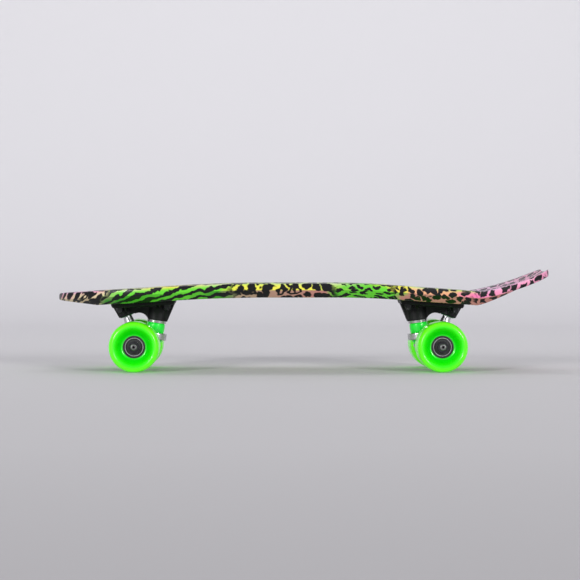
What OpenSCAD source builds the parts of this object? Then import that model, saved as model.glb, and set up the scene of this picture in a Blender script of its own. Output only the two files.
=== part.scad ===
// A mini cruiser skateboard: moulded plastic deck, two traditional-kingpin trucks,
// four soft urethane wheels on ball bearings. Nose towards -X, kicktail towards +X,
// the rider's left at -Y. The origin is on the ground under the middle of the board.

/* [Deck] */
// Length of the deck from nose to tail
deck_l = 560; // [520:5:620]
// Width of the deck at its widest
deck_w = 152; // [146:1:170]
// Height of the deck's edge, from the lowest to the highest point of a cross-section
edge_h = 15.8; // [13:0.1:20]
// Height of the upright lip along the top of the edge
lip_h = 7.3; // [5:0.1:7.5]
// Height of the edge at the nose and the tail, where the deck thins out
end_h = 7.6; // [8:0.1:12]
// How far the bevel under the lip runs in towards the middle
bevel_in = 9; // [5:0.5:14]
// Depth of the standing surface below the rim
pan_depth = 3.5; // [2:0.1:5]
// Width of the level rim around the standing surface
rim_w = 5; // [3:0.5:10]
// Width of the slope between the rim and the standing surface
ramp_w = 22; // [12:1:26]
// Depth of the hollow moulded into the underside between the trucks
under_depth = 2.5; // [0:0.1:4]
// Length of the curve that brings the front of the deck level
front_sweep = 100; // [70:1:110]
// Length of the kicktail
kick_l = 84; // [60:1:95]
// Slope of the kicktail where it starts, in degrees
kick_start = 9; // [5:0.5:15]
// Slope of the kicktail at its end, in degrees
kick_end = 24.5; // [15:0.5:30]
// Half width of the tail's straight end
tail_flat = 30; // [20:1:40]

/* [Truck placing] */
// Distance between the two axles
wheelbase = 346.6; // [320:1:380]
// How far the middle of the wheelbase lies towards the nose
wheelbase_shift = 16.9; // [5:0.1:25]
// Slope of the deck under the front truck, in degrees
front_slope = 3.5; // [2:0.1:5]
// Slope of the deck under the rear truck, in degrees
rear_slope = 4.1; // [3:0.1:5.5]

/* [Baseplate] */
// Length of the baseplate
plate_l = 74; // [68:1:84]
// Width of the baseplate
plate_w = 54; // [50:1:62]
// Thickness of the baseplate
plate_t = 5; // [4:0.1:7]
// Distance between the bolt holes along the board
bolt_pitch_l = 53.5; // [50:0.1:56]
// Distance between the bolt holes across the board
bolt_pitch_w = 41.3; // [40:0.1:44]
// Lean of the kingpin, in degrees
kingpin_tilt = 12.5; // [10:0.5:15]
// Distance of the kingpin's seat from the baseplate's middle, towards the middle of the board
kingpin_u = 13.4; // [11:0.1:15]
// Depth of the kingpin's seat below the deck
kingpin_drop = 22.2; // [21:0.1:25]
// Radius of the boss round the kingpin
kingpin_boss_r = 12.6; // [11.5:0.1:14]
// Distance of the pivot from the baseplate's middle, towards the end of the board
pivot_u = 22.5; // [21:0.1:25]
// Depth of the pivot's centre below the deck
pivot_drop = 7.6; // [7:0.1:9]
// Lean of the pivot cup, in degrees
pivot_tilt = 17; // [12:0.5:20]
// Distance from the pivot's centre down to the mouth of its boss
pivot_mouth = 7.6; // [7:0.1:10]
// Radius of the boss round the pivot cup
pivot_boss_r = 9.6; // [9.2:0.1:12]
// Thickness of the ribs between the bosses and the plate
rib_t = 14; // [8:0.5:20]

/* [Steering parts] */
// Diameter of the kingpin
kingpin_d = 9.5; // [8:0.1:10]
// Diameter of the upper cupped washer
upper_washer_d = 22; // [21:0.1:24]
// Diameter of the lower cupped washer
lower_washer_d = 18; // [16:0.1:18.5]
// Thickness of the cupped washers
washer_t = 1.5; // [1:0.1:2]
// Depth of the cup in each washer
cup_depth = 1.3; // [0.8:0.1:1.6]
// Height of the upper bushing
upper_bushing_h = 13.6; // [12:0.1:15]
// Diameter of both bushings at their widest
bushing_d = 21; // [18:0.1:22]
// Height of the lower bushing
lower_bushing_h = 7.6; // [7:0.1:9]
// Diameter of the lower bushing at its narrow end
bushing_tip_d = 15.4; // [14:0.1:17]
// Outer diameter of the pivot cup
pivot_cup_d = 15.6; // [15:0.1:17]
// Diameter of the ball at the pivot's tip
pivot_tip_d = 10; // [9:0.1:10.6]

/* [Hanger and axle] */
// Height of the ring that the bushings press on
ring_h = 7.8; // [6:0.1:9]
// Outer diameter of the ring
ring_d = 28.4; // [26:0.1:31]
// Diameter of the hole in the ring
ring_hole_d = 15; // [14:0.1:15.6]
// Depth of the bushing seats in the ring
seat_depth = 1; // [0.6:0.1:1.5]
// Width of the hanger between its two shoulders
hanger_w = 70; // [64:1:90]
// Radius of the hanger at its shoulders
shoulder_r = 6.8; // [6:0.1:8]
// Radius of the hanger's axle housing at its middle
housing_r = 7.4; // [7:0.1:7.6]
// Distance of the axle from the baseplate's middle, towards the end of the board
axle_u = 11; // [11:0.1:14]
// Depth of the axle below the deck
axle_drop = 49.4; // [48.8:0.1:52]
// Diameter of the axle
axle_d = 8; // [8:0.1:8]
// Height of the axle nuts
axle_nut_h = 7; // [6:0.1:8]
// Thickness of the washers beside the bearings
speed_washer_t = 1; // [0.8:0.1:1.4]

/* [Wheels] */
// Diameter of the wheels
wheel_d = 57; // [54:0.5:65]
// Width of the wheels
wheel_w = 44; // [38:1:50]
// Radius of the rounded shoulders of the tread
shoulder_round = 6; // [3:0.5:8]
// Radius at which the face starts to dish in towards the hub
dish_r = 21.5; // [18:0.5:23]
// Outer radius of the hub's ends
core_r = 12.75; // [12.2:0.05:14]
// Outer radius of the hub's raised middle
core_key_r = 15; // [14.5:0.1:17]
// Distance between the two bearings in a wheel
bearing_gap = 10; // [8:0.5:12]

/* [Fasteners] */
// Diameter of the deck screws
screw_d = 5; // [4.5:0.1:5]
// Diameter of the deck screws' heads
screw_head_d = 10; // [9:0.1:11]
// Width across the flats of the deck screws' nuts
screw_nut_af = 8.6; // [8:0.1:9.5]
// Height of the deck screws' nuts
screw_nut_h = 5; // [4:0.1:6]

/* [Fits] */
// Clearance all round between pieces pressed or bonded together
press_gap = 0.02; // [0.01:0.01:0.05]
// Clearance all round of a screw or pin in its hole
hole_gap = 0.15; // [0.1:0.05:0.4]
// Clearance of a ball in its race or a nose in its cup
running_gap = 0.04; // [0.02:0.01:0.08]

/* [Hidden] */
ENDS = ["front", "rear"];
WHEELS = ["front_left", "front_right", "rear_left", "rear_right"];
$fn = 96;
eps = 0.01;
far = 200;

// Standard 608 skate bearing.
bearing_od = 22;
bearing_w = 7;
inner_race_r = 6.1;
outer_race_r = 9.6;
ball_d = 3.97;
ball_pitch_r = (inner_race_r + outer_race_r) / 2;
ball_count = 7;
shield_t = 0.4;
shield_inset = 0.25;
cage_back = 2.65;
cage_front = 0.6;

// Height of the axles and places of the trucks on the deck's underside.
axle_z = wheel_d / 2;
axle_x = [-wheelbase / 2 - wheelbase_shift, wheelbase / 2 - wheelbase_shift];
slope = [front_slope, rear_slope];
inward = [1, -1];
pad_x = [for (i = [0, 1]) axle_x[i]
    + inward[i] * (axle_u * cos(slope[i]) - axle_drop * sin(slope[i]))];
pad_z = [for (i = [0, 1]) axle_z + axle_u * sin(slope[i]) + axle_drop * cos(slope[i])];
pad_half = plate_l / 2 + 6;

// ---- Deck ----
// The lower edge of the deck is straight under each truck and level in the middle,
// with a gentle sweep between. The upper edge follows it at edge_h, then thins to
// end_h along the nose and the kicktail.
nose_x = -deck_l / 2;
tail_x = deck_l / 2;
kick_x = tail_x - kick_l;
nose_thin_l = 47;
kick_thin_l = 44;
kick_bend = 10;
front_grade = tan(front_slope);
rear_grade = tan(rear_slope);
sweep_x0 = pad_x[0] + pad_half;
flat_z = pad_z[0] + front_grade * (pad_half + front_sweep / 2);
sweep_x3 = pad_x[1] - pad_half;
rear_sweep = 2 * (flat_z - (pad_z[1] + rear_grade * pad_half)) / rear_grade;

function ramp(x, x0, x1) = min(1, max(0, (x - x0) / (x1 - x0)));
function smooth(t) = t * t * (3 - 2 * t);

// Height of the deck's lower edge line, before the kicktail.
function base_z(x) =
    x < sweep_x0 ? pad_z[0] + front_grade * (x - pad_x[0])
    : x < sweep_x0 + front_sweep
        ? flat_z - front_grade * pow(sweep_x0 + front_sweep - x, 2) / (2 * front_sweep)
    : x < sweep_x3 - rear_sweep ? flat_z
    : x < sweep_x3 ? flat_z - rear_grade * pow(x - sweep_x3 + rear_sweep, 2) / (2 * rear_sweep)
    : pad_z[1] - rear_grade * (x - pad_x[1]);

// Rise of the kicktail above that line: a short bend, then a slope that steepens.
function kick_rise(x) =
    let (d = max(0, x - kick_x), k = tan(kick_start) + rear_grade,
        b = min(d, kick_bend))
    k * (b * b / (2 * kick_bend) + max(0, d - kick_bend))
    + (tan(kick_end) - tan(kick_start)) * d * d / (2 * kick_l);

function rim_z(x) = base_z(x) + edge_h + kick_rise(x);
function section_h(x) = edge_h - (edge_h - end_h)
    * (1 - ramp(x, nose_x, nose_x + nose_thin_l) + ramp(x, kick_x, kick_x + kick_thin_l));

// Half width: a round nose, full width ahead of the middle, a gentle taper to a
// blunt tail with round corners.
nose_l = 165;
nose_tip_half = 7;
taper_x = -40;
taper_in = 24;
corner_l = 30;
function half_w(x) =
    let (front = deck_w / 2 * pow(1 - pow(1 - ramp(x, nose_x, nose_x + nose_l), 2.3), 0.5),
        taper = taper_in * pow(ramp(x, taper_x, tail_x), 1.6),
        side = deck_w / 2 - taper,
        corner = 1 - ramp(x, tail_x - corner_l, tail_x),
        rear = tail_flat + (side - tail_flat) * sqrt(1 - pow(1 - corner, 2.2)))
    max(nose_tip_half, min(front, rear));

// Half of a cross-section, from the middle of the top out and round to the middle
// of the underside. share fades the standing surface's depth out at the nose's tip.
top_round = 1.4;
function section(x) =
    let (w = half_w(x), top = rim_z(x), bottom = top - section_h(x),
        bevel = min(bevel_in, w / 3) * min(1, (section_h(x) - lip_h) / (edge_h - lip_h) + 0.15),
        share = min(1, (w - nose_tip_half) / (deck_w / 2 - nose_tip_half) * 1.6),
        pan = top - pan_depth * share,
        ramp_out = w - max(top_round + 0.6, rim_w * min(1, w / 30)),
        ramp_in = max(w * 0.3, ramp_out - ramp_w),
        hollow = under_depth * smooth(ramp(x, sweep_x0, sweep_x0 + 50))
            * smooth(1 - ramp(x, sweep_x3 - 50, sweep_x3)))
    [
        [0, pan],
        for (s = [0:0.25:1]) [ramp_in + (ramp_out - ramp_in) * s, pan + (top - pan) * smooth(s)],
        [w - top_round, top],
        [w - top_round * 0.3, top - top_round * 0.3],
        [w, top - top_round],
        [w, top - min(lip_h, section_h(x) - 0.7)],
        [w - bevel, bottom + 0.4],
        [w - bevel - 0.8, bottom],
        [max(w * 0.45, w - bevel - 14), bottom],
        [max(w * 0.3, w - bevel - 24), bottom + hollow],
        [0, bottom + hollow]
    ];

// Stations crowd together where the outline turns quickly.
station_x = [
    for (i = [0:10]) nose_x + nose_l * (1 - cos(90 * i / 11)) * 0.62,
    for (i = [0:7]) let (a = nose_x + nose_l * 0.62) a + (sweep_x0 - a) * i / 8,
    for (i = [0:6]) sweep_x0 + front_sweep * i / 7,
    for (i = [0:3]) let (a = sweep_x0 + front_sweep, b = sweep_x3 - rear_sweep)
        a + (b - a) * i / 4,
    for (i = [0:5]) sweep_x3 - rear_sweep + rear_sweep * i / 6,
    for (i = [0:5]) sweep_x3 + (kick_x - sweep_x3) * i / 6,
    for (i = [0:9]) kick_x + (kick_l - corner_l) * i / 10,
    for (i = [0:9]) tail_x - corner_l + corner_l * sin(90 * i / 9)
];

function ring_at(x) = let (s = section(x), n = len(s)) [
    for (p = s) [x, p[0], p[1]],
    for (i = [n - 2:-1:1]) [x, -s[i][0], s[i][1]]
];

module deck_body() {
    rings = [for (x = station_x) ring_at(x)];
    n = len(rings[0]);
    m = len(rings);
    points = [for (r = rings, p = r) p];
    sides = [for (i = [0:m - 2], j = [0:n - 1])
        let (a = i * n + j, b = i * n + (j + 1) % n)
        each [[a, b, b + n], [a, b + n, a + n]]];
    // Each end is closed by a fan of triangles round a point in its middle.
    nose_mid = [nose_x, 0, rim_z(nose_x) - section_h(nose_x) / 2];
    tail_mid = [tail_x, 0, rim_z(tail_x) - section_h(tail_x) / 2 - pan_depth / 4];
    last = (m - 1) * n;
    caps = [for (j = [0:n - 1]) let (k = (j + 1) % n)
        each [[k, j, m * n], [last + j, last + k, m * n + 1]]];
    polyhedron(concat(points, [nose_mid, tail_mid]), concat(sides, caps), convexity = 8);
}

// Places children in a truck's own frame: origin in the middle of the baseplate's
// top, x towards the middle of the board, z square to the deck.
module at_truck(i) {
    translate([pad_x[i], 0, pad_z[i]])
        rotate([0, 0, i * 180])
            rotate([0, -slope[i], 0])
                children();
}

module at_bolts() {
    for (x = [-1, 1], y = [-1, 1])
        translate([x * bolt_pitch_l / 2, y * bolt_pitch_w / 2, 0])
            children();
}

pan_over_pad = edge_h - pan_depth;
function pan_top(i) = pan_over_pad * cos(slope[i]);
head_cone_h = (screw_head_d - screw_d) / 2;
head_sink = 0.3;

module deck() {
    color("yellowgreen")
        difference() {
            deck_body();
            for (i = [0, 1])
                at_truck(i)
                    at_bolts() {
                        translate([0, 0, -1])
                            cylinder(d = screw_d + 2 * hole_gap, h = edge_h + 2, $fn = 32);
                        translate([0, 0, pan_top(i) - head_sink - head_cone_h - hole_gap])
                            cylinder(d1 = screw_d, d2 = screw_head_d + 2 * hole_gap,
                                h = head_cone_h + hole_gap, $fn = 32);
                        translate([0, 0, pan_top(i) - head_sink - eps])
                            cylinder(d = screw_head_d + 2 * hole_gap, h = 2, $fn = 32);
                    }
        }
}

// ---- Deck screws and their locking nuts ----
screw_tail = 1.5;
module deck_screw(i) {
    top = pan_top(i) - head_sink;
    drive_w = 1.1;
    drive_l = screw_head_d * 0.55;
    difference() {
        union() {
            translate([0, 0, -plate_t - screw_nut_h - screw_tail])
                cylinder(d = screw_d, h = top + plate_t + screw_nut_h + screw_tail, $fn = 32);
            translate([0, 0, top - head_cone_h])
                cylinder(d1 = screw_d, d2 = screw_head_d, h = head_cone_h, $fn = 32);
        }
        for (a = [0, 90])
            rotate([0, 0, a])
                translate([-drive_l / 2, -drive_w / 2, top - head_cone_h * 0.8])
                    cube([drive_l, drive_w, head_cone_h]);
    }
}

module deck_screws(i) {
    color("dimgray")
        at_truck(i)
            at_bolts()
                deck_screw(i);
}

// A locking nut, its face at z = 0 and its collar below: a hexagon with a round
// collar that holds the nylon insert.
module lock_nut(af, h, bore_d) {
    collar_h = h * 0.28;
    difference() {
        union() {
            translate([0, 0, -h + collar_h])
                cylinder(d = af / cos(30), h = h - collar_h, $fn = 6);
            translate([0, 0, -h])
                cylinder(d = af * 0.9, h = h, $fn = 48);
        }
        translate([0, 0, -h - 1])
            cylinder(d = bore_d, h = h + 2, $fn = 48);
    }
}

module deck_nuts(i) {
    color("silver")
        at_truck(i)
            at_bolts()
                translate([0, 0, -plate_t])
                    lock_nut(screw_nut_af, screw_nut_h, screw_d + 2 * press_gap);
}

// ---- Baseplate, cast in one piece with its two bosses ----
// Frames along the kingpin and the pivot, with z pointing down and away from the deck.
module on_kingpin(t = 0) {
    translate([kingpin_u, 0, -kingpin_drop])
        rotate([0, 180 + kingpin_tilt, 0])
            translate([0, 0, t])
                children();
}

module on_pivot(t = 0) {
    translate([-pivot_u, 0, -pivot_drop])
        rotate([0, 180 - pivot_tilt, 0])
            translate([0, 0, t])
                children();
}

function kingpin_point(t, r) = [
    kingpin_u - t * sin(kingpin_tilt) + r * cos(kingpin_tilt),
    -kingpin_drop - t * cos(kingpin_tilt) - r * sin(kingpin_tilt)];
function pivot_point(t, r) = [
    -pivot_u + t * sin(pivot_tilt) + r * cos(pivot_tilt),
    -pivot_drop - t * cos(pivot_tilt) + r * sin(pivot_tilt)];

kingpin_head_t = -12;
kingpin_head_af = 14.2;
kingpin_head_h = 5.6;
head_pocket_d = kingpin_head_af / cos(30) + 1;

module rounded_plate(l, w, r, h) {
    linear_extrude(height = h)
        union() {
            square([l - 2 * r, w], center = true);
            square([l, w - 2 * r], center = true);
            for (x = [-1, 1], y = [-1, 1])
                translate([x * (l / 2 - r), y * (w / 2 - r)])
                    circle(r, $fn = 48);
        }
}

// Side view of the rib that ties both bosses to the plate, t thick. It stops
// rib_step short of the bosses' faces.
rib_step = 0.5;
module side_rib(t) {
    rotate([90, 0, 0])
        linear_extrude(height = t, center = true)
            polygon([
                [-plate_l / 2, 0],
                [-plate_l / 2, -1.5],
                pivot_point(pivot_mouth - rib_step, 0.3 - pivot_boss_r),
                pivot_point(pivot_mouth - rib_step, pivot_boss_r * 0.8),
                kingpin_point(-rib_step, -kingpin_boss_r * 0.8),
                kingpin_point(-rib_step, kingpin_boss_r - 0.3),
                [plate_l / 2, -1.5],
                [plate_l / 2, 0]
            ]);
}

// The ends of the plate slope in under a short square edge, just inside the rib's.
plate_lip = 1.9;
plate_slant = 0.65;
module plate_side() {
    out = plate_l / 2 + 1;
    low = plate_t + 1;
    rotate([90, 0, 0])
        linear_extrude(height = plate_w + 2, center = true)
            polygon([
                [-out, 1],
                [-out, 1 / plate_slant - plate_lip],
                [-plate_l / 2 + (low - plate_lip) * plate_slant, -low],
                [plate_l / 2 - (low - plate_lip) * plate_slant, -low],
                [out, 1 / plate_slant - plate_lip],
                [out, 1]
            ]);
}

// The arch between the two bosses runs right across the plate.
arch_r = 10.6;
arch_u = -6.5;
arch_drop = 23;
gusset_t = 4;
module baseplate_solid() {
    difference() {
        union() {
            intersection() {
                translate([0, 0, -plate_t])
                    rounded_plate(plate_l, plate_w, 8, plate_t);
                plate_side();
            }
            side_rib(rib_t);
            intersection() {
                union() {
                    on_kingpin(-far / 4)
                        cylinder(r = kingpin_boss_r, h = far / 4, $fn = 96);
                    on_pivot(-far / 4)
                        cylinder(r = pivot_boss_r, h = far / 4 + pivot_mouth, $fn = 96);
                }
                translate([-far, -far, -far])
                    cube([2 * far, 2 * far, far - eps]);
            }
            // Cross gussets run out from both bosses to the edges of the plate.
            for (x = [-pivot_u + 1, kingpin_u + 3])
                translate([x, 0, -plate_t])
                    rotate([90, 0, 90])
                        linear_extrude(height = gusset_t, center = true)
                            polygon([[-plate_w / 2 + 8, 0.5], [plate_w / 2 - 8, 0.5],
                                [8, -7], [-8, -7]]);
        }
        at_bolts() {
            translate([0, 0, -plate_t - 1])
                cylinder(d = screw_d + 2 * hole_gap, h = plate_t + 2, $fn = 32);
            translate([0, 0, -plate_t - screw_nut_h - 4])
                cylinder(d = screw_nut_af / cos(30) + 1.6, h = screw_nut_h + 4, $fn = 48);
        }
        on_kingpin(-far / 4)
            cylinder(d = kingpin_d + 2 * hole_gap, h = far / 2, $fn = 64);
        on_kingpin(-far / 4)
            cylinder(d = head_pocket_d, h = far / 4 + kingpin_head_t, $fn = 64);
        on_pivot(-pivot_cup_top)
            cylinder(d = pivot_cup_d + 2 * press_gap, h = far / 4, $fn = 64);
        translate([arch_u, 0, -arch_drop])
            rotate([90, 0, 0])
                cylinder(r = arch_r, h = plate_w + 2, center = true, $fn = 64);
    }
}

module baseplate(i) {
    color([0.06, 0.06, 0.07])
        at_truck(i)
            baseplate_solid();
}

// ---- Pivot cup: a rubber cup that takes the hanger's round-ended pivot ----
pivot_cup_top = pivot_tip_d / 2 + 0.5;
pivot_cup_proud = 0.8;
pivot_flare = 1.75;
module pivot_cup(i) {
    seat_r = pivot_tip_d / 2 + running_gap;
    mouth = pivot_mouth + pivot_cup_proud;
    color([0.05, 0.28, 0.12])
        at_truck(i)
            on_pivot()
                difference() {
                    translate([0, 0, -pivot_cup_top])
                        cylinder(d = pivot_cup_d, h = pivot_cup_top + mouth, $fn = 64);
                    sphere(r = seat_r, $fn = 64);
                    cylinder(r1 = seat_r, r2 = seat_r + pivot_flare, h = mouth + eps, $fn = 64);
                }
}

// ---- Kingpin, its nut, and the stack of washers and bushings on it ----
// Distances along the kingpin from its seat in the baseplate.
upper_bushing_t = washer_t;
ring_t = upper_bushing_t + upper_bushing_h - seat_depth;
lower_bushing_t = ring_t + ring_h - seat_depth;
lower_washer_t = lower_bushing_t + lower_bushing_h;
kingpin_nut_t = lower_washer_t + washer_t;
kingpin_nut_h = 7.4;
kingpin_nut_af = 14;
kingpin_end = kingpin_nut_t + kingpin_nut_h + 1.2;

module kingpin(i) {
    color("silver")
        at_truck(i)
            difference() {
                union() {
                    on_kingpin(kingpin_head_t)
                        cylinder(d = kingpin_d, h = kingpin_end - kingpin_head_t, $fn = 64);
                    on_kingpin(kingpin_head_t - kingpin_head_h)
                        cylinder(d = kingpin_head_af / cos(30), h = kingpin_head_h, $fn = 6);
                }
                on_kingpin(kingpin_end - 0.8)
                    cylinder(d1 = 3, d2 = 5, h = 1, $fn = 32);
            }
}

module kingpin_nut(i) {
    color("silver")
        at_truck(i)
            on_kingpin(kingpin_nut_t)
                mirror([0, 0, 1])
                    lock_nut(kingpin_nut_af, kingpin_nut_h, kingpin_d + 2 * press_gap);
}

// A cupped washer with its back at z = 0 and its cup opening towards +z.
cup_wall = 1.1;
module cupped_washer(d) {
    difference() {
        cylinder(d = d, h = washer_t + cup_depth, $fn = 64);
        translate([0, 0, washer_t])
            cylinder(d = d - 2 * cup_wall, h = cup_depth + 1, $fn = 64);
        translate([0, 0, -1])
            cylinder(d = kingpin_d + 2 * hole_gap, h = washer_t + 2, $fn = 64);
    }
}

module upper_washer(i) {
    color("silver")
        at_truck(i)
            on_kingpin(0)
                cupped_washer(upper_washer_d);
}

module lower_washer(i) {
    color("silver")
        at_truck(i)
            on_kingpin(kingpin_nut_t)
                mirror([0, 0, 1])
                    cupped_washer(lower_washer_d);
}

// The bushings are soft urethane rings. Where each meets a cup or the ring's seat
// it is a little smaller than the recess.
cup_gap = 0.2;
upper_end_r = upper_washer_d / 2 - cup_wall - cup_gap;
seat_r = bushing_d / 2 - 0.6;
bushing_hole_d = kingpin_d + 2 * hole_gap;
module upper_bushing(i) {
    h = upper_bushing_h;
    r = bushing_d / 2;
    color("lime")
        at_truck(i)
            on_kingpin(upper_bushing_t)
                rotate_extrude($fn = 96)
                    polygon([[bushing_hole_d / 2, 0], [upper_end_r - 0.6, 0],
                        [upper_end_r, 0.6], [upper_end_r, cup_depth + 0.3],
                        [r, cup_depth + 2], [r, h - seat_depth - 1.6],
                        [seat_r, h - seat_depth - 0.2], [seat_r, h],
                        [bushing_hole_d / 2, h]]);
}

module lower_bushing(i) {
    h = lower_bushing_h;
    r = bushing_d / 2 - 0.4;
    tip_r = min(bushing_tip_d, lower_washer_d - 2 * cup_wall - 2 * cup_gap) / 2;
    color("lime")
        at_truck(i)
            on_kingpin(lower_bushing_t)
                rotate_extrude($fn = 96)
                    polygon([[bushing_hole_d / 2, 0], [seat_r, 0],
                        [seat_r, seat_depth + 0.2], [r, seat_depth + 0.8],
                        [r, seat_depth + 1.6], [tip_r, h - cup_depth - 0.3],
                        [tip_r, h - 0.5], [tip_r - 0.5, h], [bushing_hole_d / 2, h]]);
}

// ---- Hanger: one aluminium casting with the ring, the pivot and the housing ----
housing_waist_w = 22;
stem_r = pivot_tip_d / 2 - 0.2;
stem_t = 10;
stem_foot_t = 22;
stem_foot_r = 7;

module along_axle(w) {
    translate([-axle_u, 0, -axle_drop])
        rotate([90, 0, 0])
            cylinder(r = housing_r, h = w, center = true, $fn = 48);
}

module hanger_solid() {
    ring_r = ring_d / 2;
    difference() {
        union() {
            // Axle housing, tapering to the two shoulders.
            translate([-axle_u, 0, -axle_drop])
                rotate([-90, 0, 0])
                    rotate_extrude($fn = 96)
                        polygon([[0, -hanger_w / 2], [shoulder_r, -hanger_w / 2],
                            [shoulder_r, -hanger_w / 2 + 5], [housing_r, -housing_waist_w],
                            [housing_r, housing_waist_w], [shoulder_r, hanger_w / 2 - 5],
                            [shoulder_r, hanger_w / 2], [0, hanger_w / 2]]);
            // Ring round the kingpin.
            on_kingpin(ring_t)
                cylinder(r = ring_r, h = ring_h, $fn = 96);
            // Pivot: a round tip on a stem that thickens towards the housing.
            on_pivot()
                sphere(d = pivot_tip_d, $fn = 64);
            on_pivot()
                cylinder(r1 = stem_r, r2 = stem_r + 0.4, h = stem_t, $fn = 64);
            on_pivot(stem_t)
                cylinder(r1 = stem_r + 0.4, r2 = stem_foot_r, h = stem_foot_t - stem_t, $fn = 64);
            // Wings fall from the foot of the stem to the housing.
            hull() {
                on_pivot(stem_foot_t - 1)
                    cylinder(r = stem_foot_r, h = 1, $fn = 32);
                along_axle(2 * housing_waist_w);
            }
            // Shoulder between the ring, the stem and the housing.
            hull() {
                on_kingpin(ring_t)
                    translate([ring_r - 1.5, 0, ring_h / 2])
                        cube([3, ring_d * 0.62, ring_h], center = true);
                on_pivot(stem_foot_t + 6)
                    cylinder(r = stem_foot_r, h = 1, $fn = 32);
                along_axle(2 * housing_waist_w - 8);
            }
        }
        // Bushing seats and the hole between them.
        on_kingpin(ring_t - 6)
            cylinder(r = seat_r + cup_gap, h = 6 + seat_depth, $fn = 64);
        on_kingpin(ring_t + ring_h - seat_depth)
            cylinder(r = seat_r + cup_gap, h = 5, $fn = 64);
        on_kingpin(ring_t - 1)
            cylinder(d = ring_hole_d, h = ring_h + 2, $fn = 64);
        // Room for the lower bushing, washer and nut beside the housing.
        on_kingpin(lower_bushing_t + seat_depth)
            cylinder(d1 = bushing_d + 1.6, d2 = lower_washer_d + 1, h = lower_bushing_h, $fn = 64);
        // Bore for the axle.
        translate([-axle_u, 0, -axle_drop])
            rotate([90, 0, 0])
                cylinder(d = axle_d + 2 * press_gap, h = hanger_w + 2, center = true, $fn = 64);
    }
}

module hanger(i) {
    color([0.78, 0.79, 0.8])
        at_truck(i)
            hanger_solid();
}

// ---- Axle, and what is stacked on each of its ends ----
// Distances out from the middle of the axle.
inner_washer_y = hanger_w / 2;
inner_bearing_y = inner_washer_y + speed_washer_t;
outer_bearing_y = inner_bearing_y + bearing_w + bearing_gap;
outer_washer_y = outer_bearing_y + bearing_w;
axle_nut_y = outer_washer_y + speed_washer_t;
axle_end_y = axle_nut_y + axle_nut_h + 0.8;
wheel_mid_y = inner_bearing_y + bearing_w + bearing_gap / 2;
axle_nut_af = 12.7;
axle_bore_d = axle_d + 2 * running_gap;

// Places children at an axle with z pointing out along the axle; side is -1 for the
// rider's left and 1 for the right.
module out_from(i, side) {
    translate([axle_x[i], 0, axle_z])
        rotate([-90 * side, 0, 0])
            children();
}

module tube(r_in, r_out, y, h, facets = 64) {
    translate([0, 0, y])
        difference() {
            cylinder(r = r_out, h = h, $fn = facets);
            translate([0, 0, -1])
                cylinder(r = r_in, h = h + 2, $fn = facets);
        }
}

module axle(i) {
    color("gray")
        difference() {
            out_from(i, 1)
                translate([0, 0, -axle_end_y])
                    cylinder(d = axle_d, h = 2 * axle_end_y, $fn = 64);
            for (s = [-1, 1])
                out_from(i, s)
                    translate([0, 0, axle_end_y - 0.8])
                        cylinder(d1 = 2, d2 = 4, h = 1, $fn = 32);
        }
}

module axle_nuts(i) {
    color([0.15, 0.15, 0.16])
        for (s = [-1, 1])
            out_from(i, s)
                translate([0, 0, axle_nut_y])
                    mirror([0, 0, 1])
                        lock_nut(axle_nut_af, axle_nut_h, axle_bore_d);
}

module speed_washers(i) {
    color("silver")
        for (s = [-1, 1], y = [inner_washer_y, outer_washer_y])
            out_from(i, s)
                tube(axle_bore_d / 2, inner_race_r - 0.3, y, speed_washer_t);
}

module inner_races(i) {
    color("lightsteelblue")
        for (s = [-1, 1], y = [inner_bearing_y, outer_bearing_y])
            out_from(i, s)
                difference() {
                    tube(axle_bore_d / 2, inner_race_r, y, bearing_w);
                    ball_groove(y);
                }
}

module bearing_spacers(i) {
    color("silver")
        for (s = [-1, 1])
            out_from(i, s)
                tube(axle_bore_d / 2, inner_race_r - 0.4, inner_bearing_y + bearing_w, bearing_gap);
}

module ball_groove(y) {
    translate([0, 0, y + bearing_w / 2])
        rotate_extrude($fn = 64)
            translate([ball_pitch_r, 0])
                circle(d = ball_d + 2 * running_gap, $fn = 48);
}

// ---- Wheel: a urethane tyre cast round a plastic hub with two bearings ----
function wheel_end(w) = w < 2 ? 0 : 1;
function wheel_side(w) = w % 2 == 0 ? -1 : 1;
hub_lip = 0.5;
hub_y0 = inner_bearing_y - hub_lip;
hub_y1 = outer_washer_y + hub_lip;
key_y0 = inner_bearing_y + bearing_w - 1;
key_y1 = outer_bearing_y + 1;

// Cross-section of the hub's outside, grown all round by gap.
module hub_section(gap) {
    translate([0, hub_y0])
        square([core_r + gap, hub_y1 - hub_y0]);
    translate([0, key_y0 - gap])
        square([core_key_r + gap, key_y1 - key_y0 + 2 * gap]);
}

module tyre(w) {
    r = wheel_d / 2;
    y0 = wheel_mid_y - wheel_w / 2;
    y1 = wheel_mid_y + wheel_w / 2;
    sr = shoulder_round;
    color("lime")
        out_from(wheel_end(w), wheel_side(w))
            rotate_extrude($fn = 128)
                difference() {
                    union() {
                        translate([0, y0])
                            square([r - sr, wheel_w]);
                        translate([0, y0 + sr])
                            square([r, wheel_w - 2 * sr]);
                        for (y = [y0 + sr, y1 - sr])
                            translate([r - sr, y])
                                circle(sr, $fn = 64);
                    }
                    hub_section(press_gap);
                    polygon([[0, hub_y1], [core_r + press_gap, hub_y1], [core_r + 1.2, hub_y1],
                        [dish_r, y1], [dish_r, y1 + 1], [0, y1 + 1]]);
                    polygon([[0, hub_y0], [core_r + 1.2, hub_y0], [dish_r, y0],
                        [dish_r, y0 - 1], [0, y0 - 1]]);
                }
}

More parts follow.
